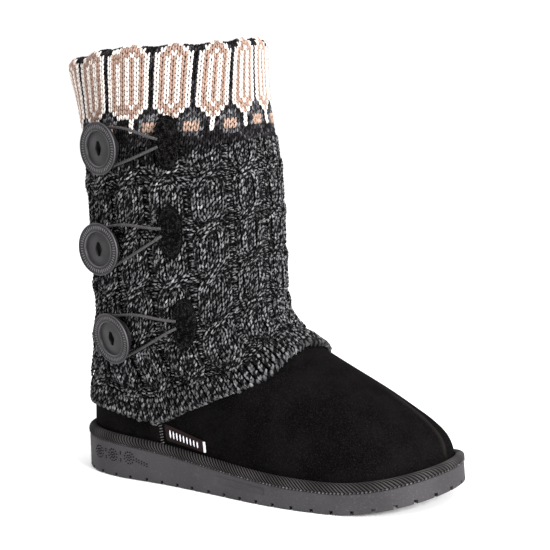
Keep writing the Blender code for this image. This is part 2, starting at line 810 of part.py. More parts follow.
def make_patch(name, height, angle, material):
    """An oval pad that lies along the knit, with a rounded edge."""
    # share of the outline, height in the pad
    section = ((0.0, 0.0), (0.96, 0.0), (1.0, 0.35), (0.90, 0.85), (0.55, 1.0), (0.0, 1.0))
    vertices = []
    for reach, share in section:
        offset = SEAT_GAP + share * PATCH_THICKNESS
        if reach == 0.0:
            vertices.append(near_face(angle, height, 0.0, 0.0, offset))
            continue
        for i in range(PATCH_FACETS):
            around = 2.0 * math.pi * i / PATCH_FACETS
            up = PATCH_LENGTH / 2.0 * math.sin(around)
            side = math.copysign(patch_half_width(up), math.cos(around))
            if abs(math.cos(around)) < 1e-9:
                side = 0.0
            vertices.append(near_face(angle, height, reach * side, reach * up, offset))
    rings = len(section) - 2
    faces = []
    for i in range(PATCH_FACETS):
        k = (i + 1) % PATCH_FACETS
        faces.append((0, 1 + k, 1 + i))
        for r in range(rings - 1):
            low = 1 + r * PATCH_FACETS
            high = low + PATCH_FACETS
            faces.append((low + i, low + k, high + k, high + i))
        last = 1 + (rings - 1) * PATCH_FACETS
        faces.append((last + i, last + k, len(vertices) - 1))
    return new_object(name, vertices, faces, material)


def loop_route(button_height, button_angle, patch_height, patch_angle):
    """The elastic's middle line: from the patch to the boss, round behind it and back."""
    radius = BUTTON_BOSS_DIAMETER / 2.0 + SEAT_GAP + LOOP_DIAMETER / 2.0 + LOOP_LIFT
    patch_x = skin(patch_angle, patch_height)[0]
    across = (angle_over(patch_x, button_height) - button_angle) * arc_scale(button_angle, button_height)
    reach = across - PATCH_WIDTH / 2.0 - SEAT_GAP - LOOP_DIAMETER
    rise = patch_height - button_height
    offset = SEAT_GAP + LOOP_DIAMETER / 2.0 + LOOP_LIFT
    points = []
    for side in (1.0, -1.0):
        mouth = np.array([reach, rise + side * LOOP_MOUTH / 2.0])
        distance = float(np.linalg.norm(mouth))
        bearing = math.atan2(mouth[1], mouth[0])
        touch = bearing + side * math.acos(radius / distance)
        points.append((mouth, touch))
    (upper_mouth, upper_touch), (lower_mouth, lower_touch) = points
    turn = np.linspace(upper_touch, lower_touch + 2.0 * math.pi, LOOP_TURN_POINTS)
    round_boss = [radius * np.array([math.cos(at), math.sin(at)]) for at in turn]
    run = np.linspace(0.0, 1.0, LOOP_RUN_POINTS + 1)
    going = [upper_mouth + (round_boss[0] - upper_mouth) * share for share in run[:-1]]
    coming = [round_boss[-1] + (lower_mouth - round_boss[-1]) * share for share in run[1:]]
    flat = going + round_boss + coming
    return [near_face(button_angle, button_height, p[0], p[1], offset) for p in flat]


def make_loop(name, route, material):
    curve = bpy.data.curves.new(name, "CURVE")
    curve.dimensions = "3D"
    curve.bevel_depth = LOOP_DIAMETER / 2.0
    curve.bevel_resolution = 1
    curve.use_fill_caps = True
    spline = curve.splines.new("POLY")
    spline.points.add(len(route) - 1)
    for point, place in zip(spline.points, route):
        point.co = (*place, 1.0)
    curve.materials.append(material)
    item = bpy.data.objects.new(name, curve)
    bpy.context.scene.collection.objects.link(item)
    return item


def make_tag(material):
    """A flat tab on the outer side, sewn into the side seam and lying just over the rand."""
    start = math.radians(TAG_ANGLE)
    level = float(seat_under(np.array([start]))[0]) + RAND_HEIGHT
    scale = arc_scale(start, level)
    vertices = []
    for i in range(TAG_FACETS + 1):
        angle = start + TAG_LENGTH * i / TAG_FACETS / scale
        base = float(seat_under(np.array([angle]))[0]) + RAND_HEIGHT + SEAT_GAP + TAG_LIFT
        top = base + TAG_HEIGHT
        low_out, high_out = SEAT_GAP + TAG_LEAN, SEAT_GAP
        for height, offset in (
            (base, low_out),
            (top, high_out),
            (top, high_out + TAG_THICKNESS),
            (base, low_out + TAG_THICKNESS),
        ):
            vertices.append(on_skin(angle, height, offset + COUNTER_STEP))
    faces = []
    for i in range(TAG_FACETS):
        for j in range(4):
            k = (j + 1) % 4
            faces.append((4 * i + j, 4 * i + k, 4 * i + 4 + k, 4 * i + 4 + j))
    faces.append((3, 2, 1, 0))
    faces.append(tuple(4 * TAG_FACETS + j for j in range(4)))
    return new_object("side_tag", vertices, faces, material)


def main():
    for item in list(bpy.data.objects):
        bpy.data.objects.remove(item, do_unlink=True)

    rubber = principled("sole_rubber", (0.105, 0.098, 0.104), 0.62)
    bead = principled("rand_rubber", (0.045, 0.043, 0.046), 0.60)
    suede = principled("faux_suede", (0.006, 0.006, 0.006), 0.95)
    lining = principled("insole_fleece", (0.060, 0.058, 0.060), 0.95)
    yarn = principled("marled_knit", (0.050, 0.050, 0.053), 0.90)
    plastic = principled("button_plastic", (0.060, 0.056, 0.062), 0.42)
    elastic = principled("elastic_cord", (0.050, 0.050, 0.052), 0.70)
    tab = principled("patch_suede", (0.006, 0.006, 0.006), 0.95)
    tape = principled("tag_tape", (0.035, 0.018, 0.016), 0.85)

    make_outsole(rubber)
    make_rand(bead)
    make_upper(suede)
    make_insole(lining)
    make_sleeve(yarn)
    for i, row in enumerate(FASTENINGS, start=1):
        button_share, button_turn, facing, lift, patch_share, patch_turn = row
        button_height = button_share * COLLAR_HEIGHT
        patch_height = patch_share * COLLAR_HEIGHT
        button_angle = math.radians(button_turn)
        patch_angle = math.radians(patch_turn)
        make_button(f"button_{i}", button_height, button_angle, facing, lift, plastic)
        make_patch(f"patch_{i}", patch_height, patch_angle, tab)
        route = loop_route(button_height, button_angle, patch_height, patch_angle)
        make_loop(f"loop_{i}", route, elastic)
    make_tag(tape)


main()
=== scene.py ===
"""Looks of a mukluk boot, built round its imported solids.

Everything is in the row frame, in metres. The boot's skin is the same stack of outlines as in the
solids: skin(angle, height), with the angle from the back of the heel along the outer side to the
toe, pi, and home along the inner side. The knit is made of its own stitches, laid on a grid that
runs round the shaft and up it by rows.
"""

import math

import bpy
import numpy as np
from mathutils import Matrix, Vector


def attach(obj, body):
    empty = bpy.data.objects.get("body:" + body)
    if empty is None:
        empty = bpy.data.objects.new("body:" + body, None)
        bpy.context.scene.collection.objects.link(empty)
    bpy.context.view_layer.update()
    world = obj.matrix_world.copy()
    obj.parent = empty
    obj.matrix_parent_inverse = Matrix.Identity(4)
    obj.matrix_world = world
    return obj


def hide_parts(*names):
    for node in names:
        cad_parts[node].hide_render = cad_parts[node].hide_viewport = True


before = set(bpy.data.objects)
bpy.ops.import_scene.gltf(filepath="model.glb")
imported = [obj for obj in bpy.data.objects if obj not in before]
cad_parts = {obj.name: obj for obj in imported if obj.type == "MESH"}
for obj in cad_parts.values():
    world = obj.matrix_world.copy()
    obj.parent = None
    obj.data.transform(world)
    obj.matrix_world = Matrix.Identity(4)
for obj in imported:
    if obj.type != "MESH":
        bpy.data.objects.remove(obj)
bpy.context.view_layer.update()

CHANCE = np.random.default_rng(11)

# Sole
SOLE_LENGTH = 0.275
HEEL_WIDTH = 0.075
BALL_WIDTH = 0.100
TOE_INWARD = 0.0045
TOE_SPRING = 0.010
SOLE_HEEL_HEIGHT = 0.0232
SOLE_FORE_HEIGHT = 0.0128
HEEL_CENTRE = 0.040
ARCH_RISE = 0.0016
LUG_PITCH = 0.0135
NOTCH_WIDTH = 0.0026
NOTCH_HEIGHT = 0.0026
NOTCH_DEPTH = 0.010
GROOVE_WIDTH = 0.0030
GROOVE_DEPTH = 0.0018
GROOVE_MARGIN = 0.005
# First and last station of the cross grooves under the heel and under the ball
GROOVED = ((0.10, 0.29), (0.58, 0.86))

# Rand
RAND_WIDTH = 0.0055
RAND_HEIGHT = 0.0058
RAND_RIB_PITCH = 0.0025
RAND_RIB_DEPTH = 0.00080
RAND_RIB_SLANT = 1.0
RAND_BEAD_LENGTH = 0.0014
RAND_BEAD_RADIUS = 0.00050

# Shares of width and height, from the inner face along the bottom and back over the top
RAND_SECTION = (
    (0.0, 0.0), (0.60, 0.0), (0.88, 0.01), (0.955, 0.12), (0.985, 0.28), (0.98, 0.45),
    (0.94, 0.62), (0.85, 0.78), (0.70, 0.90), (0.52, 0.98), (0.32, 1.0), (0.12, 0.96),
    (0.0, 0.88), (0.0, 0.4),
)

# Marks moulded in the outer side wall. The panel has its first and last station, and the middle
# and half height as shares of the wall.
SOLE_PANEL = (0.478, 0.608, 0.63, 0.19)
SOLE_PANEL_DEPTH = 0.00070
SOLE_PANEL_ROUND = 0.0022
ROSETTE_CENTRES = (-0.0136, 0.0006, 0.0156)
ROSETTE_HEIGHT = 0.0145
ROSETTE_RINGS = ((7, 0.0019), (12, 0.0040))
DOT_LENGTH = 0.0011
DOT_RADIUS = 0.00054

# Upper
UPPER_WALL = 0.0020
INSTEP_HEIGHT = 0.110
COLLAR_HEIGHT = 0.2775
SHAFT_SETBACK = 0.0240
SHAFT_DEPTH = 0.1245
SHAFT_WIDTH = 0.1035
SHAFT_SQUARENESS = 2.15
VAMP_FULLNESS = 2.2
HEM_HEIGHT = 0.0915
SEAT_GAP = 0.0003
SEAM_ANGLE = 64.5
COUNTER_STEP = 0.0007
CREASE_DEPTH = 0.0004
TOE_RIDGE_HEIGHT = 0.0009
# Share by which the suede turns lighter along the toe ridge: a painted highlight
TOE_RIDGE_HIGHLIGHT = 0.38

# Knit
STITCHES = 112
CABLE_STITCHES = 8
LADDER_SHIFT = 0.74
BAND_STITCHES = 114
YARN_FACE = 0.0026
YARN_RADIUS = 0.00080
STITCH_WIDTH = 0.0034
STITCH_HEIGHT = 0.0032
OUTER_ROWS = 74
HEM_ROWS = 5
HEM_RIBS = 96
BAND_ROWS = 20
BODY_ROWS = 56
BODY_PACE = (OUTER_ROWS - HEM_ROWS - BAND_ROWS) / BODY_ROWS
CROWN_ROWS = 4
LIP_ROWS = 3
FOLD_ROWS = 1
CROWN_RADIUS = 0.0034
LIP_ROW_HEIGHT = 0.0031
BACKING_FACE = 0.0004
BACKING_CABLE_SINK = 0.0008
BACKING_INSIDE = 0.0018

# One leg of a plain stitch: its ends, sideways in metres and up as a share of the row's height,
# then how far it bows sideways, arches outward and tips outward at its foot
STITCH_FOOT = (0.00030, -0.76)
STITCH_TIP = (0.00136, 0.80)
STITCH_BOW = 0.00012
STITCH_ARCH = 0.00045
STITCH_TILT = 0.00030
PLY_TURN = 4.5
STRAND_LIFT = 0.0011
STRAND_SINK = 0.0015
STRAND_CROWN = 0.0009
GROUND_SINK = 0.0008
LADDER_SINK = 0.0011
CABLE_REPEAT = 12
CABLE_PHASE = 0.8
CABLE_REACH = 3.4
CABLE_SPREAD = 1.13
WIDE_START = 24
BAND_SHIFT = -2.05
BAND_ROW_HEIGHT = 0.00290
RIM_SCALLOP = 0.0012
LOOSE_YARN_RADIUS = 0.00062
# Start and end in degrees from the back, drop below the hem and start above it
LOOSE_ENDS = ((54.5, 59.0, 0.0030, 0.003), (60.0, 66.5, 0.0036, 0.002), (61.5, 64.0, 0.0022, 0.002))

# Fastenings
KNIT_FACE = 0.0046
BUTTON_DIAMETER = 0.0345
BUTTON_RIM_THICKNESS = 0.0042
BUTTON_DISH_DEPTH = 0.0014
BUTTON_DISH_DIAMETER = 0.0215
BUTTON_BOSS_DIAMETER = 0.0220
BUTTON_BOSS_HEIGHT = 0.0042
BUTTON_SHANK_DIAMETER = 0.0080
BUTTON_SINK = 0.0020
BUTTON_TICKS = 54
TICK_RING_RADIUS = 0.0139
TICK_LENGTH = 0.0025
LONG_TICK_LENGTH = 0.0031
TICK_RADIUS = 0.00044
TICK_SINK = 0.00035
TICK_WEAR = 0.72
SLOT_LENGTH = 0.0094
SLOT_WIDTH = 0.0056
SLOT_WAIST = 0.0021
SLOT_REACH = 0.02
LOOP_DIAMETER = 0.0019
LOOP_MOUTH = 0.0046
LOOP_LIFT = 0.0006
LOOP_TUCK = 0.0022
LOOP_UPPER_BOW = 0.0022
LOOP_LOWER_BOW = 0.0006
BRAID_TWIST = 2300.0
PATCH_LENGTH = 0.0335
PATCH_WIDTH = 0.0150
PATCH_THICKNESS = 0.0026
PILE_FIBRES = 1800
PILE_RADIUS = 0.00022
PILE_REACH = 0.94
PILE_HANG = 0.0007
PILE_SPREAD = 0.0004
PATCH_STITCHES = 40
PATCH_STITCH_REACH = 0.85
PATCH_STITCH_LENGTH = 0.0017
PATCH_STITCH_RADIUS = 0.00028
PATCH_SINK = 0.0004
TAG_MARKS = 9
TAG_MARK_RADIUS = 0.00050
# Degrees from the back, low end and high end of the tag at the seam and at its free end
TAG_CORNERS = ((67.0, 0.0288, 0.0398), (82.0, 0.0249, 0.0325))

# Shares of the patch's reach and thickness, from its edge over the rolled rim to the middle
PATCH_SECTION = (
    (0.90, 0.00), (0.97, 0.04), (1.00, 0.18), (1.00, 0.38), (0.97, 0.56), (0.92, 0.66),
    (0.87, 0.62), (0.83, 0.60), (0.78, 0.72), (0.68, 0.86), (0.52, 0.96), (0.30, 1.02),
    (0.12, 1.04),
)

# Side seams
SEAM_PITCH = 0.0019
SEAM_STITCH_LENGTH = 0.0034
SEAM_STITCH_RADIUS = 0.00052

# Fineness
SOLE_COLUMNS = 720
SOLE_SHARP = 35.0
UPPER_COLUMNS = 288
UPPER_FOOT_ROWS = 44
RAND_COLUMNS = 1700
BUTTON_FACETS = 80
BUTTON_SHARP = 50.0
SLOT_FACETS = 20
LOOP_STEPS = 90
LOOP_FACETS = 12
PATCH_FACETS = 64
TAG_COLUMNS = 40
TAG_ROWS = 12
GRAIN_SIDES = 6
GRAIN_RINGS = (-0.90, -0.55, 0.0, 0.55, 0.90)

UP = np.array([0.0, 0.0, 1.0])

SOLE_PLAN = (
    # station, outer half, inner half
    (0.00, 0.000, 0.000),
    (0.02, 0.222, 0.222),
    (0.05, 0.335, 0.341),
    (0.10, 0.435, 0.447),
    (0.20, 0.500, 0.484),
    (0.30, 0.508, 0.445),
    (0.40, 0.502, 0.380),
    (0.50, 0.491, 0.363),
    (0.60, 0.493, 0.408),
    (0.70, 0.502, 0.472),
    (0.80, 0.490, 0.484),
    (0.90, 0.415, 0.405),
    (0.95, 0.313, 0.327),
    (0.98, 0.206, 0.224),
    (1.00, 0.000, 0.000),
)

FOOT_PROFILE = (
    # height, back, front
    (0.10, 0.00, 0.990),
    (0.23, 0.00, 1.000),
    (0.29, 0.01, 0.985),
    (0.36, 0.04, 0.950),
    (0.45, 0.10, 0.860),
    (0.54, 0.19, 0.730),
    (0.64, 0.33, 0.560),
    (0.73, 0.49, 0.380),
    (0.82, 0.66, 0.200),
    (0.91, 0.83, 0.070),
)

SHAFT_PROFILE = (
    # height, back shift, front shift
    (0.00, 0.006, 0.012),
    (0.10, 0.012, 0.000),
    (0.25, 0.010, -0.004),
    (0.45, 0.014, -0.004),
    (0.65, 0.006, -0.028),
    (0.75, -0.008, -0.046),
    (0.85, -0.030, -0.058),
    (0.92, -0.055, -0.058),
    (1.05, -0.085, -0.052),
)

SHAFT_HALVES = (
    # height, share of half of SHAFT_WIDTH
    (0.07, 0.89),
    (0.22, 0.91),
    (0.33, 0.95),
    (0.44, 0.985),
    (0.62, 1.005),
    (0.84, 1.00),
    (1.05, 1.005),
)

HEM_LINE = (
    # angle, height
    (0.00, 0.506),
    (0.19, 0.515),
    (0.35, 0.463),
    (0.45, 0.593),
    (0.56, 0.725),
    (0.72, 0.852),
    (0.88, 0.955),
    (1.00, 0.990),
)

COLLAR_LINE = (
    # angle, height
    (0.00, 0.980),
    (0.20, 0.982),
    (0.33, 0.987),
    (0.42, 0.998),
    (0.56, 1.006),
    (0.78, 1.006),
    (1.00, 1.012),
)

FASTENINGS = (
    # button height, button angle, turn to the front, button lift, patch height, patch angle
    (0.797, 75.5, 0.0, 0.0000, 0.805, 116.4),
    (0.569, 69.8, 10.0, 0.0019, 0.608, 113.6),
    (0.366, 72.4, 0.0, 0.0000, 0.399, 117.5),
)


def smooth(value, start, end):
    """0 before start, 1 after end, and an even S between them."""
    t = np.clip((np.asarray(value, float) - start) / (end - start), 0.0, 1.0)
    return t * t * (3.0 - 2.0 * t)


def through(value, xs, ys):
    """The smooth curve through the points (xs, ys), with no overshoot between them."""
    xs = np.asarray(xs, float)
    ys = np.asarray(ys, float)
    width = np.diff(xs)
    rise = np.diff(ys) / width
    slope = np.zeros_like(ys)
    slope[0] = rise[0]
    slope[-1] = rise[-1]
    for i in range(1, len(ys) - 1):
        if rise[i - 1] * rise[i] > 0:
            near = 2.0 * width[i] + width[i - 1]
            far = width[i] + 2.0 * width[i - 1]
            slope[i] = (near + far) / (near / rise[i - 1] + far / rise[i])
    value = np.clip(value, xs[0], xs[-1])
    i = np.clip(np.searchsorted(xs, value, side="right") - 1, 0, len(width) - 1)
    t = (value - xs[i]) / width[i]
    low = ys[i] * (1.0 + 2.0 * t) * (1.0 - t) ** 2 + slope[i] * width[i] * t * (1.0 - t) ** 2
    high = ys[i + 1] * t * t * (3.0 - 2.0 * t) + slope[i + 1] * width[i] * t * t * (t - 1.0)
    return low + high


def walked_along(line):
    """The distance walked along a line at each of its points."""
    return np.concatenate([[0.0], np.cumsum(np.linalg.norm(np.diff(line, axis=0), axis=1))])


def every(*ranges):
    """Every combination of the ranges' members, as flat arrays."""
    return [v.ravel() for v in np.meshgrid(*ranges, indexing="ij")]


def circle(count):
    """Angles at even steps round a circle."""
    return 2.0 * math.pi * np.arange(count) / count


def turn_of(share):
    return np.arccos(np.clip(1.0 - 2.0 * np.asarray(share, float), -1.0, 1.0))


def column_of(table, index):
    return np.array([row[index] for row in table])


def looked_up(table, value):
    """The smooth curve through a table's second column, over its first."""
    return through(value, column_of(table, 0), column_of(table, 1))


def width_at(station):
    return HEEL_WIDTH + (BALL_WIDTH - HEEL_WIDTH) * smooth(station, 0.25, 0.65)


def plan_half(station, outer):
    """Half width of the sole from its middle line on the outer or the inner side."""
    turn, turns = turn_of(station), turn_of(column_of(SOLE_PLAN, 0))
    sides = [through(turn, turns, column_of(SOLE_PLAN, side)) for side in (1, 2)]
    return np.where(outer, *sides) * width_at(station)


def middle_line(station):
    return TOE_INWARD * np.clip((np.asarray(station, float) - 0.6) / 0.4, 0.0, None) ** 2


def ground_clearance(station):
    return TOE_SPRING * np.clip((np.asarray(station, float) - 0.76) / 0.24, 0.0, None) ** 1.9


def sole_edge(angle):
    """The sole's outline in x and y, at angles from the back."""
    station = (1.0 - np.cos(angle)) / 2.0
    outer = angle % (2.0 * math.pi) <= math.pi
    half = plan_half(station, outer)
    y = middle_line(station) + np.where(outer, -half, half)
    return np.column_stack([station * SOLE_LENGTH - HEEL_CENTRE, y])


def seat_height(station):
    """Height of the sole's top, where the rand, the upper and the insole sit."""
    drop = (SOLE_HEEL_HEIGHT - SOLE_FORE_HEIGHT) * smooth(station, 0.05, 0.75)
    return ground_clearance(station) + SOLE_HEEL_HEIGHT - drop


def station_at(x):
    return np.clip((x + HEEL_CENTRE) / SOLE_LENGTH, 0.0, 1.0)


# Skin of the upper

FEATHER = RAND_WIDTH + SEAT_GAP
HEEL_SEAT = FEATHER
TOE_SEAT = SOLE_LENGTH - FEATHER
SHAFT_FRONT = SHAFT_SETBACK + SHAFT_DEPTH


def profile_rows():
    """Height, back and front of the upper in side view, from the two profile tables."""
    rows = []
    for height, back, front in FOOT_PROFILE:
        back_x = HEEL_SEAT + back * (SHAFT_SETBACK - HEEL_SEAT)
        front_x = SHAFT_FRONT + front * (TOE_SEAT - SHAFT_FRONT)
        rows.append((height * INSTEP_HEIGHT, back_x, front_x))
    for height, back, front in SHAFT_PROFILE:
        level = INSTEP_HEIGHT + height * (COLLAR_HEIGHT - INSTEP_HEIGHT)
        rows.append((level, SHAFT_SETBACK + back * SHAFT_DEPTH, SHAFT_FRONT + front * SHAFT_DEPTH))
    return np.array(rows)


PROFILE = profile_rows()
VAMP_LEVELS = np.linspace(INSTEP_HEIGHT * 1.12, INSTEP_HEIGHT * 0.24, 600)
VAMP_REACH = through(VAMP_LEVELS, PROFILE[:, 0], PROFILE[:, 2])


def skin(angle, height):
    """A point of the upper's outside, as an array of x, y and z."""
    angle, height = np.broadcast_arrays(np.asarray(angle, float) % (2.0 * math.pi), height)
    outer = angle <= math.pi
    back = through(height, PROFILE[:, 0], PROFILE[:, 1])
    front = through(height, PROFILE[:, 0], PROFILE[:, 2])
    along = (1.0 - np.cos(angle)) / 2.0
    x = back + along * (front - back)
    foot_length = TOE_SEAT - HEEL_SEAT
    station = np.clip((x - HEEL_SEAT) / foot_length, 0.0, 1.0)
    narrowed = 1.0 - 2.0 * FEATHER / width_at(station)
    from_toe = plan_half(station, outer)
    from_heel = plan_half(np.clip((x - back) / foot_length, 0.0, 1.0), outer)
    heelward = smooth(x, 0.0, 0.22 * SOLE_LENGTH)
    half = narrowed * (from_heel + (from_toe - from_heel) * heelward)
    vamp_top = np.interp(x, VAMP_REACH, VAMP_LEVELS)
    seat = seat_height(station)
    rise = np.clip((height - seat) / np.maximum(vamp_top - seat, 1e-4), 0.0, 1.0)
    dome = (1.0 - rise**VAMP_FULLNESS) ** (1.0 / VAMP_FULLNESS)
    half = half * (1.0 + (dome - 1.0) * smooth(station, 0.3, 0.62))
    level = height / COLLAR_HEIGHT
    oval_half = 0.5 * SHAFT_WIDTH * looked_up(SHAFT_HALVES, level)
    from_middle = np.abs(2.0 * along - 1.0)
    oval = oval_half * (1.0 - from_middle**SHAFT_SQUARENESS) ** (1.0 / SHAFT_SQUARENESS)
    shaft = smooth(height, 0.32 * INSTEP_HEIGHT, 0.95 * INSTEP_HEIGHT)
    half = half + (oval - half) * shaft
    y = middle_line(station) * (1.0 - shaft) + np.where(outer, -half, half)
    return np.stack([x - HEEL_CENTRE, y, height], axis=-1)


def unit(vectors):
    return vectors / np.maximum(np.linalg.norm(vectors, axis=-1, keepdims=True), 1e-12)


def outward(angle, height):
    """The skin's unit normal, pointing out."""
    across = skin(angle + 0.03, height) - skin(angle - 0.03, height)
    up = skin(angle, height + 5e-4) - skin(angle, height - 5e-4)
    return unit(np.cross(across, up))


def on_skin(angle, height, offset):
    """A point at this distance outside the skin, or inside it where the distance is negative."""
    angle, height, offset = np.broadcast_arrays(angle, height, offset)
    return skin(angle, height) + outward(angle, height) * offset[..., None]


def folded_turn(angle):
    return np.arccos(np.cos(angle)) / math.pi


def collar_height(angle):
    return COLLAR_HEIGHT * looked_up(COLLAR_LINE, folded_turn(angle))


def hem_height(angle):
    return HEM_HEIGHT * looked_up(HEM_LINE, folded_turn(angle))


def seat_under(angle):
    """Height of the sole's top below the skin at this angle."""
    level = np.full(np.shape(angle), SOLE_HEEL_HEIGHT)
    for _ in range(4):
        level = seat_height(station_at(skin(angle, level)[..., 0]))
    return level


def even_angles(count):
    """Angles at even distances round the shaft, from the back, the same on both sides."""
    fine = np.linspace(0.0, math.pi, 721)
    ring = skin(fine, np.full(fine.shape, 0.7 * COLLAR_HEIGHT))
    walked = walked_along(ring)
    half = np.interp(np.linspace(0.0, walked[-1], count // 2 + 1), walked, fine)
    return np.concatenate([half, 2.0 * math.pi - half[-2:0:-1]])


# Materials


class Nodes:
    """A short way to build a material's nodes."""

    def __init__(self, name, roughness, specular, sheen=0.0):
        self.material = bpy.data.materials.new(name)
        self.material.use_nodes = True
        self.tree = self.material.node_tree
        self.shader = self.tree.nodes["Principled BSDF"]
        self.shader.inputs["Roughness"].default_value = roughness
        self.shader.inputs["Sheen Weight"].default_value = sheen
        self.shader.inputs["Sheen Roughness"].default_value = 0.6
        self.shader.inputs["Specular IOR Level"].default_value = specular

    def add(self, kind, **values):
        node = self.tree.nodes.new("ShaderNode" + kind)
        for key, value in values.items():
            setattr(node, key, value)
        return node

    def link(self, source, target):
        self.tree.links.new(source, target)

    def feed(self, socket, value):
        if isinstance(value, bpy.types.NodeSocket):
            self.link(value, socket)
        else:
            socket.default_value = value

    def place(self):
        return self.add("TexCoord").outputs["Object"]

    def noise(self, scale, detail=3.0):
        node = self.add("TexNoise")
        node.inputs["Scale"].default_value = scale
        node.inputs["Detail"].default_value = detail
        node.inputs["Roughness"].default_value = 0.55
        self.link(self.place(), node.inputs["Vector"])
        return node.outputs["Fac"]

    def cells(self, scale):
        node = self.add("TexVoronoi")
        node.inputs["Scale"].default_value = scale
        self.link(self.place(), node.inputs["Vector"])
        return node.outputs["Distance"]

    def bands(self, direction, scale):
        node = self.add("TexWave", wave_type="BANDS", bands_direction=direction)
        node.inputs["Scale"].default_value = scale
        self.link(self.place(), node.inputs["Vector"])
        return node.outputs["Fac"]

    def ramp(self, value, start, end, low=0.0, high=1.0):
        node = self.add("MapRange", interpolation_type="SMOOTHSTEP")
        self.feed(node.inputs["Value"], value)
        node.inputs["From Min"].default_value = start
        node.inputs["From Max"].default_value = end
        node.inputs["To Min"].default_value = low
        node.inputs["To Max"].default_value = high
        return node.outputs["Result"]

    def math(self, operation, a, b=0.0):
        node = self.add("Math", operation=operation)
        self.feed(node.inputs[0], a)
        self.feed(node.inputs[1], b)
        return node.outputs[0]

    def mix(self, share, a, b):
        node = self.add("Mix", data_type="RGBA")
        self.feed(node.inputs["Factor"], share)
        self.feed(node.inputs["A"], a if isinstance(a, bpy.types.NodeSocket) else (*a, 1.0))
        self.feed(node.inputs["B"], b if isinstance(b, bpy.types.NodeSocket) else (*b, 1.0))
        return node.outputs["Result"]

    def attribute(self, name):
        return self.add("Attribute", attribute_name=name)

    def worn_and_lit(self, base, colour):
        """The base, turned to a lighter colour as far as the piece says there: rubbed wear and
        lighter ticks on the buttons, and a painted highlight on the buttons' crests, the rand's rib
        crests and the suede's toe ridge.
        """
        return self.mix(self.attribute("wear_and_highlight").outputs["Fac"], base, colour)

    def colour(self, source):
        self.link(source, self.shader.inputs["Base Color"])

    def roughness(self, source):
        self.link(source, self.shader.inputs["Roughness"])

    def bump(self, height, distance, strength):
        node = self.add("Bump")
        node.inputs["Distance"].default_value = distance
        node.inputs["Strength"].default_value = strength
        self.link(height, node.inputs["Height"])
        self.link(node.outputs["Normal"], self.shader.inputs["Normal"])


def yarn_material():
    """Plied yarn: each leg carries its colour, and alpha says how much black is plied in."""
    made = Nodes("plied_yarn", roughness=0.95, specular=0.02)
    colour = made.attribute("yarn")
    ply = made.add("SeparateXYZ")
    made.link(made.attribute("ply").outputs["Vector"], ply.inputs[0])
    turn = ply.outputs["X"]
    sine = made.math("MULTIPLY", made.math("SINE", turn), ply.outputs["Y"])
    cosine = made.math("MULTIPLY", made.math("COSINE", turn), ply.outputs["Z"])
    stripe = made.math("ADD", sine, cosine)
    fibre = made.noise(2600.0, 2.0)
    uneven = made.noise(500.0, 2.0)
    edge = made.math("ADD", stripe, made.ramp(uneven, 0.3, 0.7, -0.45, 0.45))
    dark = made.math("MULTIPLY", made.ramp(edge, -0.1, 0.55, 1.0, 0.0), colour.outputs["Alpha"])
    base = made.mix(dark, colour.outputs["Color"], (0.0042, 0.0039, 0.0042))
    # Darker where the plies meet: painted shade in the groove between them
    ply_groove_shade = made.ramp(made.math("ABSOLUTE", stripe), 0.0, 0.45, 0.30, 0.0)
    base = made.mix(ply_groove_shade, base, (0.002, 0.002, 0.002))
    fuzz = made.mix(made.ramp(fibre, 0.45, 0.75, 0.0, 0.018), base, (0.24, 0.23, 0.24))
    made.colour(fuzz)
    relief = made.math("ADD", made.math("ABSOLUTE", stripe), made.math("MULTIPLY", fibre, 0.8))
    made.bump(relief, 0.00022, 0.8)
    return made.material


def backing_material():
    """The inside of the knit, seen only between stitches, in near black: painted shade."""
    made = Nodes("knit_backing", roughness=0.98, specular=0.0)
    made.colour(made.mix(made.noise(900.0), (0.001, 0.001, 0.001), (0.003, 0.0028, 0.003)))
    made.bump(made.noise(1500.0), 0.0002, 0.6)
    return made.material


def suede_material(name="brushed_suede", pale=1.0, fleck=0.6):
    """Near-black suede: a short nap that lies this way and that."""
    made = Nodes(name, roughness=0.98, specular=0.015, sheen=0.001)
    nap = made.noise(46.0, 4.0)
    grain = made.noise(1500.0, 3.0)
    low = tuple(pale * c for c in (0.0012, 0.0010, 0.0010))
    high = tuple(pale * c for c in (0.0030, 0.0026, 0.0026))
    lint = tuple(pale * c for c in (0.0125, 0.0113, 0.0113))
    cloud = made.mix(made.ramp(nap, 0.35, 0.68), low, high)
    napped = made.mix(made.ramp(grain, 0.45, 0.75, 0.0, fleck), cloud, lint)
    # Along the toe ridge the nap turns lighter: a painted highlight
    made.colour(made.worn_and_lit(napped, (0.024, 0.021, 0.020)))
    made.bump(made.math("ADD", grain, made.math("MULTIPLY", nap, 0.5)), 0.00022, 0.7)
    return made.material


def fleece_material():
    """Brushed lining in dark grey, with small curls."""
    made = Nodes("fleece_lining", roughness=0.97, specular=0.05)
    curl = made.cells(520.0)
    soft = made.noise(160.0, 3.0)
    tint = made.mix(made.ramp(soft, 0.3, 0.7), (0.016, 0.015, 0.016), (0.036, 0.034, 0.036))
    made.colour(made.mix(made.ramp(curl, 0.1, 0.6, 0.5, 0.0), tint, (0.008, 0.008, 0.008)))
    made.bump(made.math("ADD", curl, soft), 0.0008, 0.7)
    return made.material


def rubber_material(name, dark, light, roughness, worn_and_lit=None, shine=0.10):
    """Foamed rubber with a fine moulded grain, and a lighter colour where the piece says so."""
    made = Nodes(name, roughness=roughness, specular=shine)
    grain = made.noise(850.0, 3.0)
    cloud = made.noise(30.0, 3.0)
    tint = made.mix(made.ramp(cloud, 0.3, 0.7), dark, light)
    tint = made.mix(made.ramp(grain, 0.5, 0.8, 0.0, 0.45), tint, tuple(2.2 * c for c in light))
    # On the rand this lighter colour, on the crests of its ribs, is a painted highlight
    if worn_and_lit is not None:
        tint = made.worn_and_lit(tint, worn_and_lit)
    made.colour(tint)
    made.roughness(made.ramp(grain, 0.2, 0.8, roughness - 0.08, roughness + 0.12))
    made.bump(grain, 0.00018, 0.6)
    return made.material


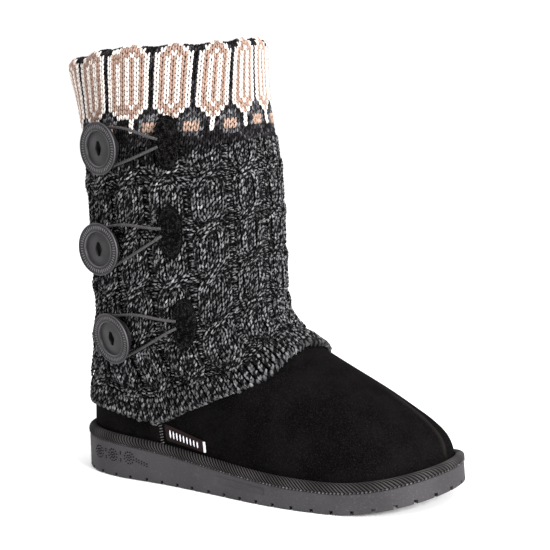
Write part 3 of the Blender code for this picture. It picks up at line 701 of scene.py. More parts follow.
def button_material():
    """Gunmetal plastic with a fine cast texture, and lighter edges: partly rubbed wear, partly a
    painted highlight.
    """
    made = Nodes("gunmetal_plastic", roughness=0.42, specular=0.22)
    cloud = made.noise(120.0, 3.0)
    speck = made.noise(1600.0, 2.0)
    tint = made.mix(made.ramp(cloud, 0.3, 0.7), (0.006, 0.0052, 0.006), (0.011, 0.0100, 0.011))
    tint = made.mix(made.ramp(speck, 0.5, 0.8, 0.0, 0.30), tint, (0.028, 0.026, 0.028))
    made.colour(made.worn_and_lit(tint, (0.105, 0.099, 0.105)))
    made.roughness(made.ramp(speck, 0.3, 0.8, 0.38, 0.58))
    made.bump(speck, 0.00006, 0.6)
    return made.material


def elastic_material():
    """Round braided elastic in dark grey and black."""
    made = Nodes("braided_elastic", roughness=0.75, specular=0.2)
    braid = made.cells(1500.0)
    made.colour(made.mix(made.ramp(braid, 0.05, 0.5), (0.105, 0.100, 0.098), (0.034, 0.032, 0.032)))
    made.bump(braid, 0.00015, 0.6)
    return made.material


def thread_material(name, dark, light, spread=1400.0, shine=0.15):
    """Spun thread or pile, with a fine twist."""
    made = Nodes(name, roughness=0.85, specular=shine)
    made.colour(made.mix(made.ramp(made.noise(spread, 2.0), 0.42, 0.70), dark, light))
    made.bump(made.noise(2600.0, 2.0), 0.0001, 0.6)
    return made.material


def tape_material(name, dark, light):
    """Woven tape with fine threads both ways."""
    made = Nodes(name, roughness=0.9, specular=0.12)
    weave = made.math("MULTIPLY", made.bands("X", 900.0), made.bands("Z", 900.0))
    made.colour(made.mix(weave, dark, light))
    made.bump(weave, 0.00012, 0.7)
    return made.material


# Meshes


def mesh_object(name, vertices, faces, material, smooth_angle=40.0):
    mesh = bpy.data.meshes.new(name)
    mesh.from_pydata(np.asarray(vertices).tolist(), [], [list(f) for f in faces])
    mesh.materials.append(material)
    mesh.shade_smooth()
    if smooth_angle < 180.0:
        mesh.set_sharp_from_angle(angle=math.radians(smooth_angle))
    item = bpy.data.objects.new(name, mesh)
    bpy.context.scene.collection.objects.link(item)
    return item


def fast_mesh(name, vertices, faces, material):
    """A mesh from arrays, for the many small faces of the knit. faces is an array of triangles."""
    mesh = bpy.data.meshes.new(name)
    mesh.vertices.add(len(vertices))
    mesh.vertices.foreach_set("co", np.asarray(vertices, np.float32).ravel())
    mesh.loops.add(faces.size)
    mesh.loops.foreach_set("vertex_index", faces.astype(np.int32).ravel())
    mesh.polygons.add(len(faces))
    starts = np.arange(0, faces.size, faces.shape[1], dtype=np.int32)
    mesh.polygons.foreach_set("loop_start", starts)
    mesh.update(calc_edges=True)
    mesh.materials.append(material)
    mesh.shade_smooth()
    item = bpy.data.objects.new(name, mesh)
    bpy.context.scene.collection.objects.link(item)
    return item


def repeated(faces, count, step):
    """The triangles of one small shape, counted on for each of its copies."""
    return (faces[None] + (np.arange(count) * step)[:, None, None]).reshape(-1, 3)


def ring_faces(rows, columns, closed=True):
    """Quads of a grid that is closed across its columns, and across its rows if asked."""
    i, j = np.meshgrid(np.arange(rows if closed else rows - 1), np.arange(columns), indexing="ij")
    k = (j + 1) % columns
    near = i * columns
    far = ((i + 1) % rows) * columns
    return np.stack([near + j, near + k, far + k, far + j], axis=-1).reshape(-1, 4)


def ring_tube(name, rings, material):
    """A ring-shaped solid whose cross-section is the closed loop of the rings."""
    vertices = np.concatenate(rings)
    return fast_mesh(name, vertices, ring_faces(len(rings), len(rings[0])), material)


def mark_wear_and_highlight(item, wear_and_highlight):
    """Says at each vertex, from 0 to 1, how far the piece turns to its lighter colour there: rubbed
    wear, and a painted highlight on crests and ridges.
    """
    made = item.data.attributes.new("wear_and_highlight", "FLOAT", "POINT")
    made.data.foreach_set("value", np.asarray(wear_and_highlight, np.float32).ravel())


def capped_faces(rows, columns):
    """Faces of a tube through rows of points, closed at both ends."""
    faces = ring_faces(rows, columns, closed=False).tolist()
    faces.append(list(range(columns))[::-1])
    faces.append([(rows - 1) * columns + j for j in range(columns)])
    return faces


def capped_tube(name, rings, material):
    """A solid tube through the rings, smooth all over."""
    faces = capped_faces(len(rings), len(rings[0]))
    return mesh_object(name, np.concatenate(rings), faces, material, 180.0)


def cut_away(item, cutter, sharp):
    """Takes the cutter's shape out of a piece, removes the cutter and shades the piece again."""
    modifier = item.modifiers.new("cut", "BOOLEAN")
    modifier.operation = "DIFFERENCE"
    modifier.solver = "EXACT"
    modifier.object = cutter
    graph = bpy.context.evaluated_depsgraph_get()
    cut_mesh = bpy.data.meshes.new_from_object(item.evaluated_get(graph))
    item.modifiers.clear()
    item.data = cut_mesh
    item.data.shade_smooth()
    item.data.set_sharp_from_angle(angle=math.radians(sharp))
    bpy.data.objects.remove(cutter)


def grains(name, centre, along, out, length, radius, material):
    """Small rounded grains of thread or rubber, one for each centre, each along its own line."""
    centre, along, out = (np.asarray(v, float) for v in (centre, along, out))
    along = unit(along)
    side = unit(np.cross(along, out))
    out = np.cross(side, along)
    count = len(centre)
    length = np.broadcast_to(length, count)[:, None]
    radius = np.broadcast_to(radius, count)[:, None]
    sides = GRAIN_SIDES
    rows = [centre - 0.5 * length * along]
    for share in GRAIN_RINGS:
        size = radius * math.sqrt(1.0 - share**2)
        for j in range(sides):
            at = 2.0 * math.pi * j / sides
            lean = math.cos(at) * side + math.sin(at) * out
            rows.append(centre + 0.5 * share * length * along + size * lean)
    rows.append(centre + 0.5 * length * along)
    points = np.stack(rows, axis=1)
    faces = []
    last = points.shape[1] - 1
    for j in range(sides):
        k = (j + 1) % sides
        faces.append((0, 1 + k, 1 + j))
        for r in range(len(GRAIN_RINGS) - 1):
            low = 1 + r * sides
            faces.append((low + j, low + k, low + sides + k))
            faces.append((low + j, low + sides + k, low + sides + j))
        faces.append((last - sides + j, last - sides + k, last))
    faces = repeated(np.array(faces), count, points.shape[1])
    return fast_mesh(name, points.reshape(-1, 3), faces, material)


def finish_piece(piece, slot, *nodes):
    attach(piece, "root")
    if nodes:
        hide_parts(*nodes)
    return piece


# The knit's grid: rows run from under the hem, up the outside, over the crown and down the lip

GRID_COLUMNS = 4 * STITCHES
GRID_PER_ROW = 3


def even_columns(points, normals):
    """Both grids with their columns at even distances along each row, on each side of the boot."""
    dense = points.shape[1]
    half = GRID_COLUMNS // 2
    made = np.empty((2, len(points), GRID_COLUMNS, 3))
    for side in (0, 1):
        pick = np.arange(side * dense // 2, (side + 1) * dense // 2 + 1) % dense
        where = slice(side * half, (side + 1) * half)
        for j in range(len(points)):
            line = points[j, pick]
            lean = normals[j, pick]
            walked = walked_along(line)
            target = np.linspace(0.0, walked[-1], half + 1)[:-1]
            for k in range(3):
                made[0, j, where, k] = np.interp(target, walked, line[:, k])
                made[1, j, where, k] = np.interp(target, walked, lean[:, k])
    return made[0], unit(made[1])


def gap_nearness(column):
    """1 at the dark gaps between the band's motifs and 0 in the middle of a motif."""
    centre = WIDE_START + 10.5 + BAND_SHIFT
    from_gap = (column - centre + 4.0) % 8.0 - 4.0
    near = 0.5 + 0.5 * np.cos(from_gap * math.pi / 4.0)
    wide = (column > centre - 10.0) & (column < centre)
    return np.where(wide, 0.5 + 0.5 * np.cos((column - centre) * math.pi / 5.0), near)


def band_twist(row, share):
    """Columns by which the band leans to the front as it widens upward."""
    share = share % 1.0
    round_back = smooth(np.where(share < 0.5, share + 1.0, share), 0.86, 1.14)
    round_front = 1.0 - smooth(share, 0.36, 0.64)
    side = np.where((share < 0.25) | (share > 0.75), round_back, round_front)
    lean = 0.25 * np.clip(row - 52.0, 0.0, 8.0) + 0.155 * np.clip(row - 60.0, 0.0, 16.0)
    return lean * (1.7 * side - 0.7)


def fabric_grid():
    """Points and normals of the knit's face, by row and column."""
    angle = even_angles(2 * GRID_COLUMNS)
    hem = hem_height(angle)
    rim = collar_height(angle)
    steps = np.linspace(0.0, 1.0, 181)[:, None]
    levels = hem + steps * (rim - hem)
    line = on_skin(angle[None, :], levels, YARN_FACE)
    walked = np.cumsum(np.linalg.norm(np.diff(line, axis=0), axis=2), axis=0)
    walked = np.concatenate([np.zeros((1, len(angle))), walked])
    rows = OUTER_ROWS * GRID_PER_ROW
    count = np.linspace(0.0, OUTER_ROWS, rows + 1)
    heights = np.empty((rows + 1, len(angle)))
    for j in range(len(angle)):
        whole = walked[-1, j]
        ends = (0.0, HEM_ROWS * BAND_ROW_HEIGHT, whole - BAND_ROWS * BAND_ROW_HEIGHT, whole)
        reached = np.interp(count, (0.0, HEM_ROWS, OUTER_ROWS - BAND_ROWS, OUTER_ROWS), ends)
        heights[:, j] = np.interp(reached, walked[:, j], levels[:, j])
    outer_normal = outward(angle[None, :], heights)
    outer_point = skin(angle[None, :], heights) + YARN_FACE * outer_normal
    outer_point, outer_normal = even_columns(outer_point, outer_normal)

    def turned(base, normal, along, centre, count):
        """An arc that folds the fabric over an edge, from its outside to its inside."""
        points, normals = [], []
        for phi in np.linspace(0.0, math.pi, count * GRID_PER_ROW + 1)[1:]:
            lean = math.cos(phi) * normal + math.sin(phi) * along
            points.append(base + (centre - YARN_FACE) * normal + (YARN_FACE - centre) * lean)
            normals.append(lean)
        return points, normals

    up = unit(outer_point[-1] - outer_point[-4])
    centre = YARN_FACE - CROWN_RADIUS
    crown = turned(outer_point[-1], outer_normal[-1], up, centre, CROWN_ROWS)
    lip_points, lip_normals = [], []
    for k in range(1, LIP_ROWS * GRID_PER_ROW + 1):
        drop = LIP_ROW_HEIGHT * k / GRID_PER_ROW
        lip_points.append(crown[0][-1] - up * drop)
        lip_normals.append(crown[1][-1])
    down = unit(outer_point[0] - outer_point[3])
    fold = turned(outer_point[0], outer_normal[0], down, 0.0016, FOLD_ROWS)
    points = np.array(fold[0][::-1] + list(outer_point) + crown[0] + lip_points)
    normals = np.array(fold[1][::-1] + list(outer_normal) + crown[1] + lip_normals)
    row = np.arange(len(points)) / GRID_PER_ROW - FOLD_ROWS
    column = np.arange(GRID_COLUMNS) / GRID_COLUMNS * BAND_STITCHES
    across, above = column[None, :], row[:, None]
    from_chart = across - band_twist(above, across / BAND_STITCHES)
    from_chart = (across - band_twist(above, from_chart / BAND_STITCHES)) % BAND_STITCHES
    sag = RIM_SCALLOP * gap_nearness(from_chart) * smooth(row, 60.0, 75.0)[:, None]
    points[..., 2] -= sag
    return points, normals


GRID_POINTS, GRID_NORMALS = fabric_grid()


def fabric(column, row, lift):
    """A point of the knit. Column is a share of the turn, row counts stitch rows from the hem."""
    x = ((column + band_twist(row, column) / BAND_STITCHES) % 1.0) * GRID_COLUMNS
    y = np.clip((row + FOLD_ROWS) * GRID_PER_ROW, 0.0, len(GRID_POINTS) - 1.001)
    i = y.astype(int)
    j = x.astype(int) % GRID_COLUMNS
    k = (j + 1) % GRID_COLUMNS
    u = (x - np.floor(x))[..., None]
    v = (y - i)[..., None]

    def blend(grid):
        low = grid[i, j] * (1.0 - u) + grid[i, k] * u
        high = grid[i + 1, j] * (1.0 - u) + grid[i + 1, k] * u
        return low * (1.0 - v) + high * v

    return blend(GRID_POINTS) + unit(blend(GRID_NORMALS)) * np.asarray(lift)[..., None]


# Stitches

LEG_SIDES = 5
LEG_RINGS = ((0.17, 0.84), (0.50, 1.0), (0.83, 0.80))
# Tone of each leg from tip to tip: painted shade at both tips, where the yarn dips under its
# neighbours
LEG_SHADES = (0.45, 0.88, 1.0, 0.95, 0.60)


def leg_faces():
    """Triangles of one leg: a tip, its rings and the other tip."""
    faces = []
    last = 1 + len(LEG_RINGS) * LEG_SIDES
    for j in range(LEG_SIDES):
        k = (j + 1) % LEG_SIDES
        faces.append((0, 1 + k, 1 + j))
        for r in range(len(LEG_RINGS) - 1):
            low = 1 + r * LEG_SIDES
            high = low + LEG_SIDES
            faces.append((low + j, low + k, high + k))
            faces.append((low + j, high + k, high + j))
        top = 1 + (len(LEG_RINGS) - 1) * LEG_SIDES
        faces.append((top + j, top + k, last))
    return np.array(faces)


LEG_FACES = leg_faces()


class Legs:
    """Gathers the legs of stitches, each a plump grain of yarn laid on the fabric.

    Columns are counted from the back. Row 0 lies at the grid's row `first`, and each row of
    stitches takes up `pace` rows of the grid.
    """

    def __init__(self, stitches, first=0.0, pace=1.0):
        self.stitches = stitches
        self.first = first
        self.pace = pace
        self.height = STITCH_HEIGHT * pace
        self.parts = []

    def add(self, column, row, lean, start, end, bow, lift, arch, tilt, radius, colour, marl):
        """Legs as arrays: middle in stitches, ends and bow in metres across and up the wale."""
        count = len(column)

        def each(value):
            return np.broadcast_to(value, count)[:, None]

        t = np.array([0.0, *[place for place, _ in LEG_RINGS], 1.0])
        start, end = (np.broadcast_to(v, (count, 2)) for v in (start, end))
        line = start[:, None, :] + (end - start)[:, None, :] * t[None, :, None]
        direction = unit(end - start)
        side = np.stack([direction[:, 1], -direction[:, 0]], axis=-1)
        swell = np.sin(math.pi * t)
        line = line + side[:, None, :] * (each(bow) * swell)[..., None]
        height = each(lift) + each(arch) * swell
        height = height + tilt * (1.0 - 2.0 * t)
        size = each(radius) * np.array([0.0, *[s for _, s in LEG_RINGS], 0.0])
        angle = np.linspace(0.0, 2.0 * math.pi, LEG_SIDES, endpoint=False) + 0.3
        wide = size[..., None] * np.cos(angle)
        across = line[:, :, None, :] + side[:, None, None, :] * wide[..., None]
        out = height[:, :, None] + 0.95 * size[..., None] * np.sin(angle)
        lean = each(lean)[:, None]
        cosine = 1.0 / np.sqrt(1.0 + lean**2)
        sine = lean * cosine
        x = across[..., 0] * cosine + across[..., 1] * sine
        y = across[..., 1] * cosine - across[..., 0] * sine
        grid_row = self.first + self.pace * row[:, None, None] + y / STITCH_HEIGHT
        place = (column[:, None, None] + x / STITCH_WIDTH, grid_row, out)
        phase = CHANCE.uniform(0.0, 2.0 * math.pi, count)
        twist = np.broadcast_to(phase[:, None, None] + PLY_TURN * t[None, :, None], x.shape)
        round_leg = [np.broadcast_to(turned(angle), x.shape) for turned in (np.cos, np.sin)]
        ply = np.stack([twist, *round_leg], -1)
        last = len(t) - 1
        inner = [(r, j) for r in range(1, last) for j in range(LEG_SIDES)]
        ring, spot = np.array([(0, 0), *inner, (last, 0)]).T
        tone = np.concatenate([np.broadcast_to(colour, (count, 3)), each(marl)], axis=1)
        # Painted shade at the tips of each leg
        shade = np.array(LEG_SHADES)[ring]
        tone = tone[:, None, :] * np.column_stack([shade, shade, shade, np.ones(len(ring))])
        where = np.stack([value[:, ring, spot] for value in place], axis=-1)
        self.parts.append((where, ply[:, ring, spot], tone))

    def piece(self, name, material):
        """One mesh of all the legs."""
        where, ply, tone = (np.concatenate(values) for values in zip(*self.parts))
        count, size = where.shape[:2]
        points = fabric(where[..., 0] / self.stitches, where[..., 1], where[..., 2]).reshape(-1, 3)
        item = fast_mesh(name, points, repeated(LEG_FACES, count, size), material)
        made = item.data.attributes.new("ply", "FLOAT_VECTOR", "POINT")
        made.data.foreach_set("vector", ply.astype(np.float32).ravel())
        made = item.data.color_attributes.new("yarn", "FLOAT_COLOR", "POINT")
        made.data.foreach_set("color", tone.astype(np.float32).ravel())
        return item


def drift(column, row):
    """The slow change of tone along the yarn, which runs round the boot row after row."""
    walk = row * 1.0 + column / STITCHES
    slow = np.sin(walk * 11.3) + np.sin(walk * 29.7 + 1.3) + np.sin(walk * 4.1 + 0.4)
    return np.clip(0.90 + 0.15 * slow, 0.45, 1.4)


def marl_tones(column, row, low=0.072, high=0.205):
    """Greys of a marled yarn: most of its legs show little of the light ply, and some much."""
    count = len(column)
    tone = low + (high - low) * CHANCE.random(count) ** 1.3
    tint = np.array([1.0, 0.98, 1.02])
    return (tone * drift(column, row))[:, None] * tint


def knit_stitches(
    legs, column, row, lean=0.0, lift=0.0, colour=None, marl=1.0, width=1.0, plump=1.0, shade=1.0
):
    """The two legs of each plain stitch, a V that opens upward."""
    count = len(column)
    for side in (-1.0, 1.0):
        jitter = CHANCE.normal(0.0, 1.0, (count, 2)) * np.array([0.00007, 0.00010])
        start, end = (
            np.array([side * wide * width, up * legs.height]) + jitter
            for wide, up in (STITCH_FOOT, STITCH_TIP)
        )
        if colour is None:
            tones = marl_tones(column, row)
        else:
            tones = colour * CHANCE.uniform(0.9, 1.05, (count, 1))
        tones = tones * np.broadcast_to(shade, count)[:, None]
        radius = YARN_RADIUS * plump * CHANCE.uniform(0.93, 1.06, count)
        legs.add(
            column, row, lean, start, end, side * STITCH_BOW, lift, STITCH_ARCH, STITCH_TILT,
            radius, tones, marl,
        )


def purl_stitches(legs, column, row, lift=0.0, plump=1.0, shade=1.0):
    """The bump of each purl stitch, a grain of yarn across the wale."""
    count = len(column)
    jitter = CHANCE.normal(0.0, 0.00012, (count, 2))
    tip = np.array([0.58 * STITCH_WIDTH, 0.0])
    bow = -0.00045 * np.where(row % 2.0 < 1.0, 1.0, -1.0)
    radius = YARN_RADIUS * 0.92 * plump * CHANCE.uniform(0.9, 1.08, count)
    tones = marl_tones(column, row) * np.broadcast_to(shade, count)[:, None]
    start, end = jitter - tip, jitter + tip
    legs.add(column, row, 0.0, start, end, bow, lift, 0.0006, 0.0, radius, tones, 1.0)
    column, row, bow = column + 0.5, row + 0.5, -bow
    start, end = -jitter - tip, tip - jitter
    # The second grain lies lower and is painted darker: painted shade
    legs.add(column, row, 0.0, start, end, bow, lift, 0.0004, 0.0, radius, 0.8 * tones, 1.0)


def from_crossing(row):
    """Rows between a stitch and the nearest crossing, negative below it."""
    rows = (row + 0.5 - CABLE_PHASE) % CABLE_REPEAT
    return np.where(rows > CABLE_REPEAT / 2.0, rows - CABLE_REPEAT, rows)


def cable_cells(rows):
    """Column, row, lean, lift and shade of the cable stitches, whose strands cross left over right;
    the shade is painted light and shade: each strand's middle wale lighter, its outer wales darker,
    the front strand lighter and the back strand darker where they cross.
    """
    repeats = STITCHES // CABLE_STITCHES
    cable, row, wale = every(np.arange(repeats), rows, np.arange(6))
    t = np.clip(from_crossing(row) / CABLE_REACH, -1.0, 1.0)
    share = (t + 1.0) / 2.0
    moved = share * share * (3.0 - 2.0 * share)
    rate = 6.0 * share * (1.0 - share) / (2.0 * CABLE_REACH)
    front = wale < 3
    direction = np.where(front, 3.0, -3.0)
    place = wale - 2.5 + direction * moved
    column = cable * CABLE_STITCHES + 2.0 + CABLE_SPREAD * place + LADDER_SHIFT
    lean = CABLE_SPREAD * direction * rate * STITCH_WIDTH / (STITCH_HEIGHT * BODY_PACE)
    bump = np.cos(0.5 * math.pi * t) ** 2
    crown = np.where(wale % 3 == 1, STRAND_CROWN, 0.0)
    lift = np.where(front, STRAND_LIFT, -STRAND_SINK) * bump + crown + 0.0001
    # Painted light and shade: middle wales lit, outer wales and the back strand at each crossing
    # shaded
    shade = np.where(wale % 3 == 1, 1.15, 0.80) * (1.0 + np.where(front, 0.10, -0.40) * bump)
    return column, row + 0.5, lean, lift, shade


def ground_cells(rows):
    """Column and row of the purl stitches: the ladders, and the ground beside each crossing."""
    column, row = every(np.arange(STITCHES), rows)
    place = column % CABLE_STITCHES
    beside = ((place == 4) | (place == 7)) & (np.abs(from_crossing(row)) < 0.75 * CABLE_REACH)
    keep = (place == 5) | (place == 6) | beside
    moved = column + 0.5 + np.where(place == 5, 0.22, 0.0) - np.where(place == 6, 0.22, 0.0)
    lift = np.where(beside[keep], -GROUND_SINK, -LADDER_SINK)
    return moved[keep] + LADDER_SHIFT, row[keep] + 0.5, lift


def dark_top(column, row):
    """Shade of the body's stitches: the dark yarn under the band reaches lower towards the back."""
    share = column / STITCHES
    away = np.abs(share - 0.20)
    reach = 0.4 + 4.0 * (1.0 - smooth(away, 0.06, 0.22))
    return np.where(BODY_ROWS - row < reach, 0.16 + 0.40 * CHANCE.random(len(row)) ** 3, 1.0)


def make_body(yarn):
    """The cabled part of the sleeve, in three pieces from the hem up."""
    pieces = []
    edges = np.linspace(0, BODY_ROWS, 4).round().astype(int)
    for part, low, high in zip(("lower", "middle", "upper"), edges, edges[1:]):
        legs = Legs(STITCHES, HEM_ROWS, BODY_PACE)
        rows = np.arange(low, high)
        column, row, lean, lift, shade = cable_cells(rows)
        knit_stitches(legs, column, row, lean, lift, shade=shade * dark_top(column, row))
        column, row, lift = ground_cells(rows)
        # The purl stitches lie sunk between and beside the cables and are painted darker: painted
        # shade
        purl_stitches(legs, column, row, lift, shade=0.85 * dark_top(column, row))
        pieces.append(legs.piece(f"cable_knit_{part}", yarn))
    return pieces


def make_hem(yarn):
    """The hem: narrow ribs with deep grooves between them, whipped over along its lower edge."""
    legs = Legs(HEM_RIBS)
    column, row = every(np.arange(HEM_RIBS), np.arange(HEM_ROWS))
    swell = np.where(row < HEM_ROWS - 1, 0.0011, 0.0006)
    knit_stitches(legs, column + 0.5, row + 0.5, lift=swell, width=0.62, plump=0.98, shade=0.88)
    edge = np.arange(HEM_RIBS) + 0.5
    count = len(edge)
    tones = marl_tones(edge, np.full(count, 3.7), 0.08, 0.19)
    start = np.array([-0.0008, -0.0024]) + CHANCE.normal(0.0, 0.00015, (count, 2))
    end = np.array([0.0008, 0.0012]) + CHANCE.normal(0.0, 0.00020, (count, 2))
    low = np.zeros(count)
    legs.add(edge + 0.5, low, 0.0, start, end, 0.0, 0.0009, 0.0007, 0.0, 0.00078, tones, 0.6)
    low, start, end = np.full(count, -0.2), 0.7 * start, 0.7 * end
    legs.add(edge, low, 0.0, start, end, 0.0, 0.0002, 0.0007, 0.0, 0.00080, tones, 1.0)
    return legs.piece("ribbed_hem", yarn)


def make_loose_ends(material):
    """A few bits of yarn that have slipped out under the hem near the outer seam."""
    pieces = []
    for i, (start, end, drop, up) in enumerate(LOOSE_ENDS):
        t = np.linspace(0.0, 1.0, 25)
        angle = np.radians(start + (end - start) * t)
        level = hem_height(angle) + up - (drop + up) * np.sin(math.pi * t) ** 0.7
        line = on_skin(angle, level, 0.0012 + 0.0016 * np.sin(math.pi * t))
        ahead = unit(np.gradient(line, axis=0))
        out = outward(angle, level)
        side = unit(np.cross(ahead, out))
        out = np.cross(side, ahead)
        turn = np.linspace(0.0, 2.0 * math.pi, 8, endpoint=False)
        rings = []
        for k in range(len(line)):
            lean = np.cos(turn)[:, None] * side[k] + np.sin(turn)[:, None] * out[k]
            rings.append(line[k] + LOOSE_YARN_RADIUS * lean)
        pieces.append(capped_tube(f"loose_yarn_{i + 1}", rings, material))
    return pieces


# The band's chart, from its lowest row up. K black, G grey marl, W white, T tan, P peach.
# The first stitch of each row is the dark gap between two motifs.
MOTIF = (
    *("KKKKKKKK",) * 2,
    "GGKKKKKG",
    *("PPGKWKGP",) * 2,
    "GGGKWKGG",
    "GGKWTWKG",
    "GKWTTTWK",
    "KWTTWTTW",
    *("KWTWTWTW",) * 10,
    "KWTTWTTW",
    "KKWTTTWK",
    "KKKWTWKK",
    "KKKKWKKK",
)
WIDE_MOTIF = (
    *("KKKKKKKKKK",) * 2,
    "GGKKKKKKKG",
    *("PPGKKKWKGP",) * 2,
    "GGGKKKWKGG",
    "GGKWWWTWKG",
    "GKWTTTTTWK",
    "KWTTTTWTTW",
    *("KWTWTWTWTW",) * 9,
    "KWTTTWTWTW",
    "KWTTTTWTTW",
    "KKWWTTTTWK",
    "KKKKWWTWKK",
    "KKKKKKWKKK",
)
YARNS = {
    "K": ((0.034, 0.031, 0.034), 0.85),
    "G": ((0.175, 0.174, 0.184), 0.8),
    "W": ((0.65, 0.595, 0.56), 0.0),
    "T": ((0.31, 0.208, 0.166), 0.0),
    "P": ((0.40, 0.272, 0.214), 0.35),
}


def band_letter(column, row):
    """The chart's letter at a stitch of the band."""
    if WIDE_START <= column < WIDE_START + 10:
        return WIDE_MOTIF[row][column - WIDE_START]
    start = WIDE_START + 10 if column >= WIDE_START + 10 else WIDE_START
    return MOTIF[row][(column - start) % 8]


def make_band(yarn):
    """The patterned band, charted stitch by stitch, which ends on top of the rolled edge."""
    groups = {letter: [] for letter in YARNS}
    for row in range(len(MOTIF)):
        for column in range(BAND_STITCHES):
            groups[band_letter(column, row)].append((column, row))
    legs = Legs(BAND_STITCHES, OUTER_ROWS - BAND_ROWS)
    for letter, cells in groups.items():
        cells = np.array(cells, float)
        colour, marl = YARNS[letter]
        dark = letter in "KG"
        lift = -0.0002 if dark else 0.0003
        colours = np.array(colour) * CHANCE.uniform(0.25 if dark else 0.93, 1.1, (len(cells), 1))
        if letter == "K":
            colours *= 0.7 + 3.0 * CHANCE.random((len(cells), 1)) ** 4
        column, row = cells[:, 0] + 0.5 + BAND_SHIFT, cells[:, 1] + 0.5
        knit_stitches(legs, column, row, lift=lift, colour=colours, marl=marl)
    return legs.piece("patterned_band", yarn)


def make_rim(yarn):
    """The dark marl edge, which rolls over the collar and ends in a lip inside it."""
    legs = Legs(STITCHES, OUTER_ROWS + len(MOTIF) - BAND_ROWS)
    rows = np.arange(CROWN_ROWS + LIP_ROWS + BAND_ROWS - len(MOTIF))
    column, row = every(np.arange(STITCHES), rows)
    tones = marl_tones(column, row, 0.02, 0.30)
    knit_stitches(legs, column + 0.5, row + 0.5, lift=0.0, colour=tones, marl=0.9)
    return legs.piece("rolled_rim", yarn)


def make_backing(material):
    """The closed wall behind the stitches."""
    columns = 2 * STITCHES
    share = np.arange(columns) / columns
    top = OUTER_ROWS + CROWN_ROWS + LIP_ROWS
    rows = np.arange(-FOLD_ROWS, top + 0.01, 1.0)
    rings = []
    for row in rows:
        cabled = smooth(row, HEM_ROWS - 0.5, HEM_ROWS + 1.0)
        cabled = cabled * (1.0 - smooth(row, OUTER_ROWS - BAND_ROWS - 1.0, OUTER_ROWS - BAND_ROWS))
        lift = np.full(columns, -BACKING_FACE - BACKING_CABLE_SINK * cabled)
        rings.append(fabric(share, np.full(columns, row), lift))
    for row in rows[::-1]:
        lift = np.full(columns, -BACKING_INSIDE)
        rings.append(fabric(share, np.full(columns, row), lift))
    return ring_tube("knit_backing", rings, material)


# Foot


def make_upper(suede, lining):
    """The suede foot and the inner shaft, one wall that is open at the collar and underneath."""
    columns = UPPER_COLUMNS
    angle = (np.arange(columns) + 0.5) / columns * 2.0 * math.pi
    seat = seat_under(angle) + SEAT_GAP
    hem = hem_height(angle)
    rim = collar_height(angle)
    foot_shares = np.linspace(0.0, 1.0, UPPER_FOOT_ROWS) ** 1.15
    shaft_shares = (0.04, 0.1, 0.2, 0.35, 0.5, 0.65, 0.8, 0.92, 1.0)
    levels = [seat + (hem - seat) * share for share in foot_shares]
    levels += [hem + (rim - hem) * share for share in shaft_shares]
    rings = [on_skin(angle, level, foot_relief(angle, level, seat)) for level in levels]
    outer = len(rings)
    inside = levels[:UPPER_FOOT_ROWS:3] + levels[UPPER_FOOT_ROWS:]
    for level in reversed(inside):
        rings.append(on_skin(angle, level, -UPPER_WALL))
    upper = ring_tube("suede_upper", rings, suede)
    upper.data.materials.append(lining)
    index = np.zeros(len(upper.data.polygons), np.int32)
    index[(outer - 1) * columns :] = 1
    upper.data.polygons.foreach_set("material_index", index)
    # Lighter along the toe ridge: a painted highlight; the inside rings get none
    wear_and_highlight = [TOE_RIDGE_HIGHLIGHT * toe_ridge(angle, level) for level in levels]
    mark_wear_and_highlight(upper, wear_and_highlight + [np.zeros(columns)] * len(inside))
    return upper


def toe_ridge(angle, level):
    """1 along the soft ridge that runs down the suede to the toe, and 0 away from it."""
    past = np.degrees(angle) - 180.0
    ridge = np.exp(-(((past - 300.0 * (level - 0.035)) / (0.7 + 34.0 * (level - 0.02))) ** 2))
    return ridge * smooth(level, 0.024, 0.034) * (1.0 - smooth(level, 0.058, 0.072))


def foot_relief(angle, level, seat):
    """Small forms of the suede: the counter's step at the seams, soft creases and a toe ridge."""
    turn = 180.0 * folded_turn(angle)
    rise = level - seat
    counter = COUNTER_STEP * (1.0 - smooth(turn, SEAM_ANGLE - 0.8, SEAM_ANGLE + 0.5))
    counter = counter * smooth(rise, RAND_HEIGHT, RAND_HEIGHT + 0.002)
    pull = CREASE_DEPTH * np.sin(turn * 0.35)
    pull = pull * smooth(rise, 0.004, 0.02) * (1.0 - smooth(rise, 0.02, 0.045))
    ridge = TOE_RIDGE_HEIGHT * toe_ridge(angle, level)
    return counter + pull * smooth(turn, 90.0, 120.0) + ridge


def rand_ring(angle, reach, share, swell):
    """A line of the rand's section, from its inner face at 0 to the sole's edge at 1."""
    seat = seat_under(angle)
    edge = sole_edge(angle)
    inner = on_skin(angle, seat + SEAT_GAP + share * RAND_HEIGHT, SEAT_GAP)
    plan = inner[:, :2] + (edge - inner[:, :2]) * reach
    away = unit(edge - inner[:, :2])
    plan = plan + away * (swell * min(1.0, reach * 1.3))[:, None]
    height = seat_height(station_at(plan[:, 0])) + SEAT_GAP + share * RAND_HEIGHT
    height = height + swell * max(0.0, math.sin(math.pi * min(share, 0.5)))
    return np.column_stack([plan, height])


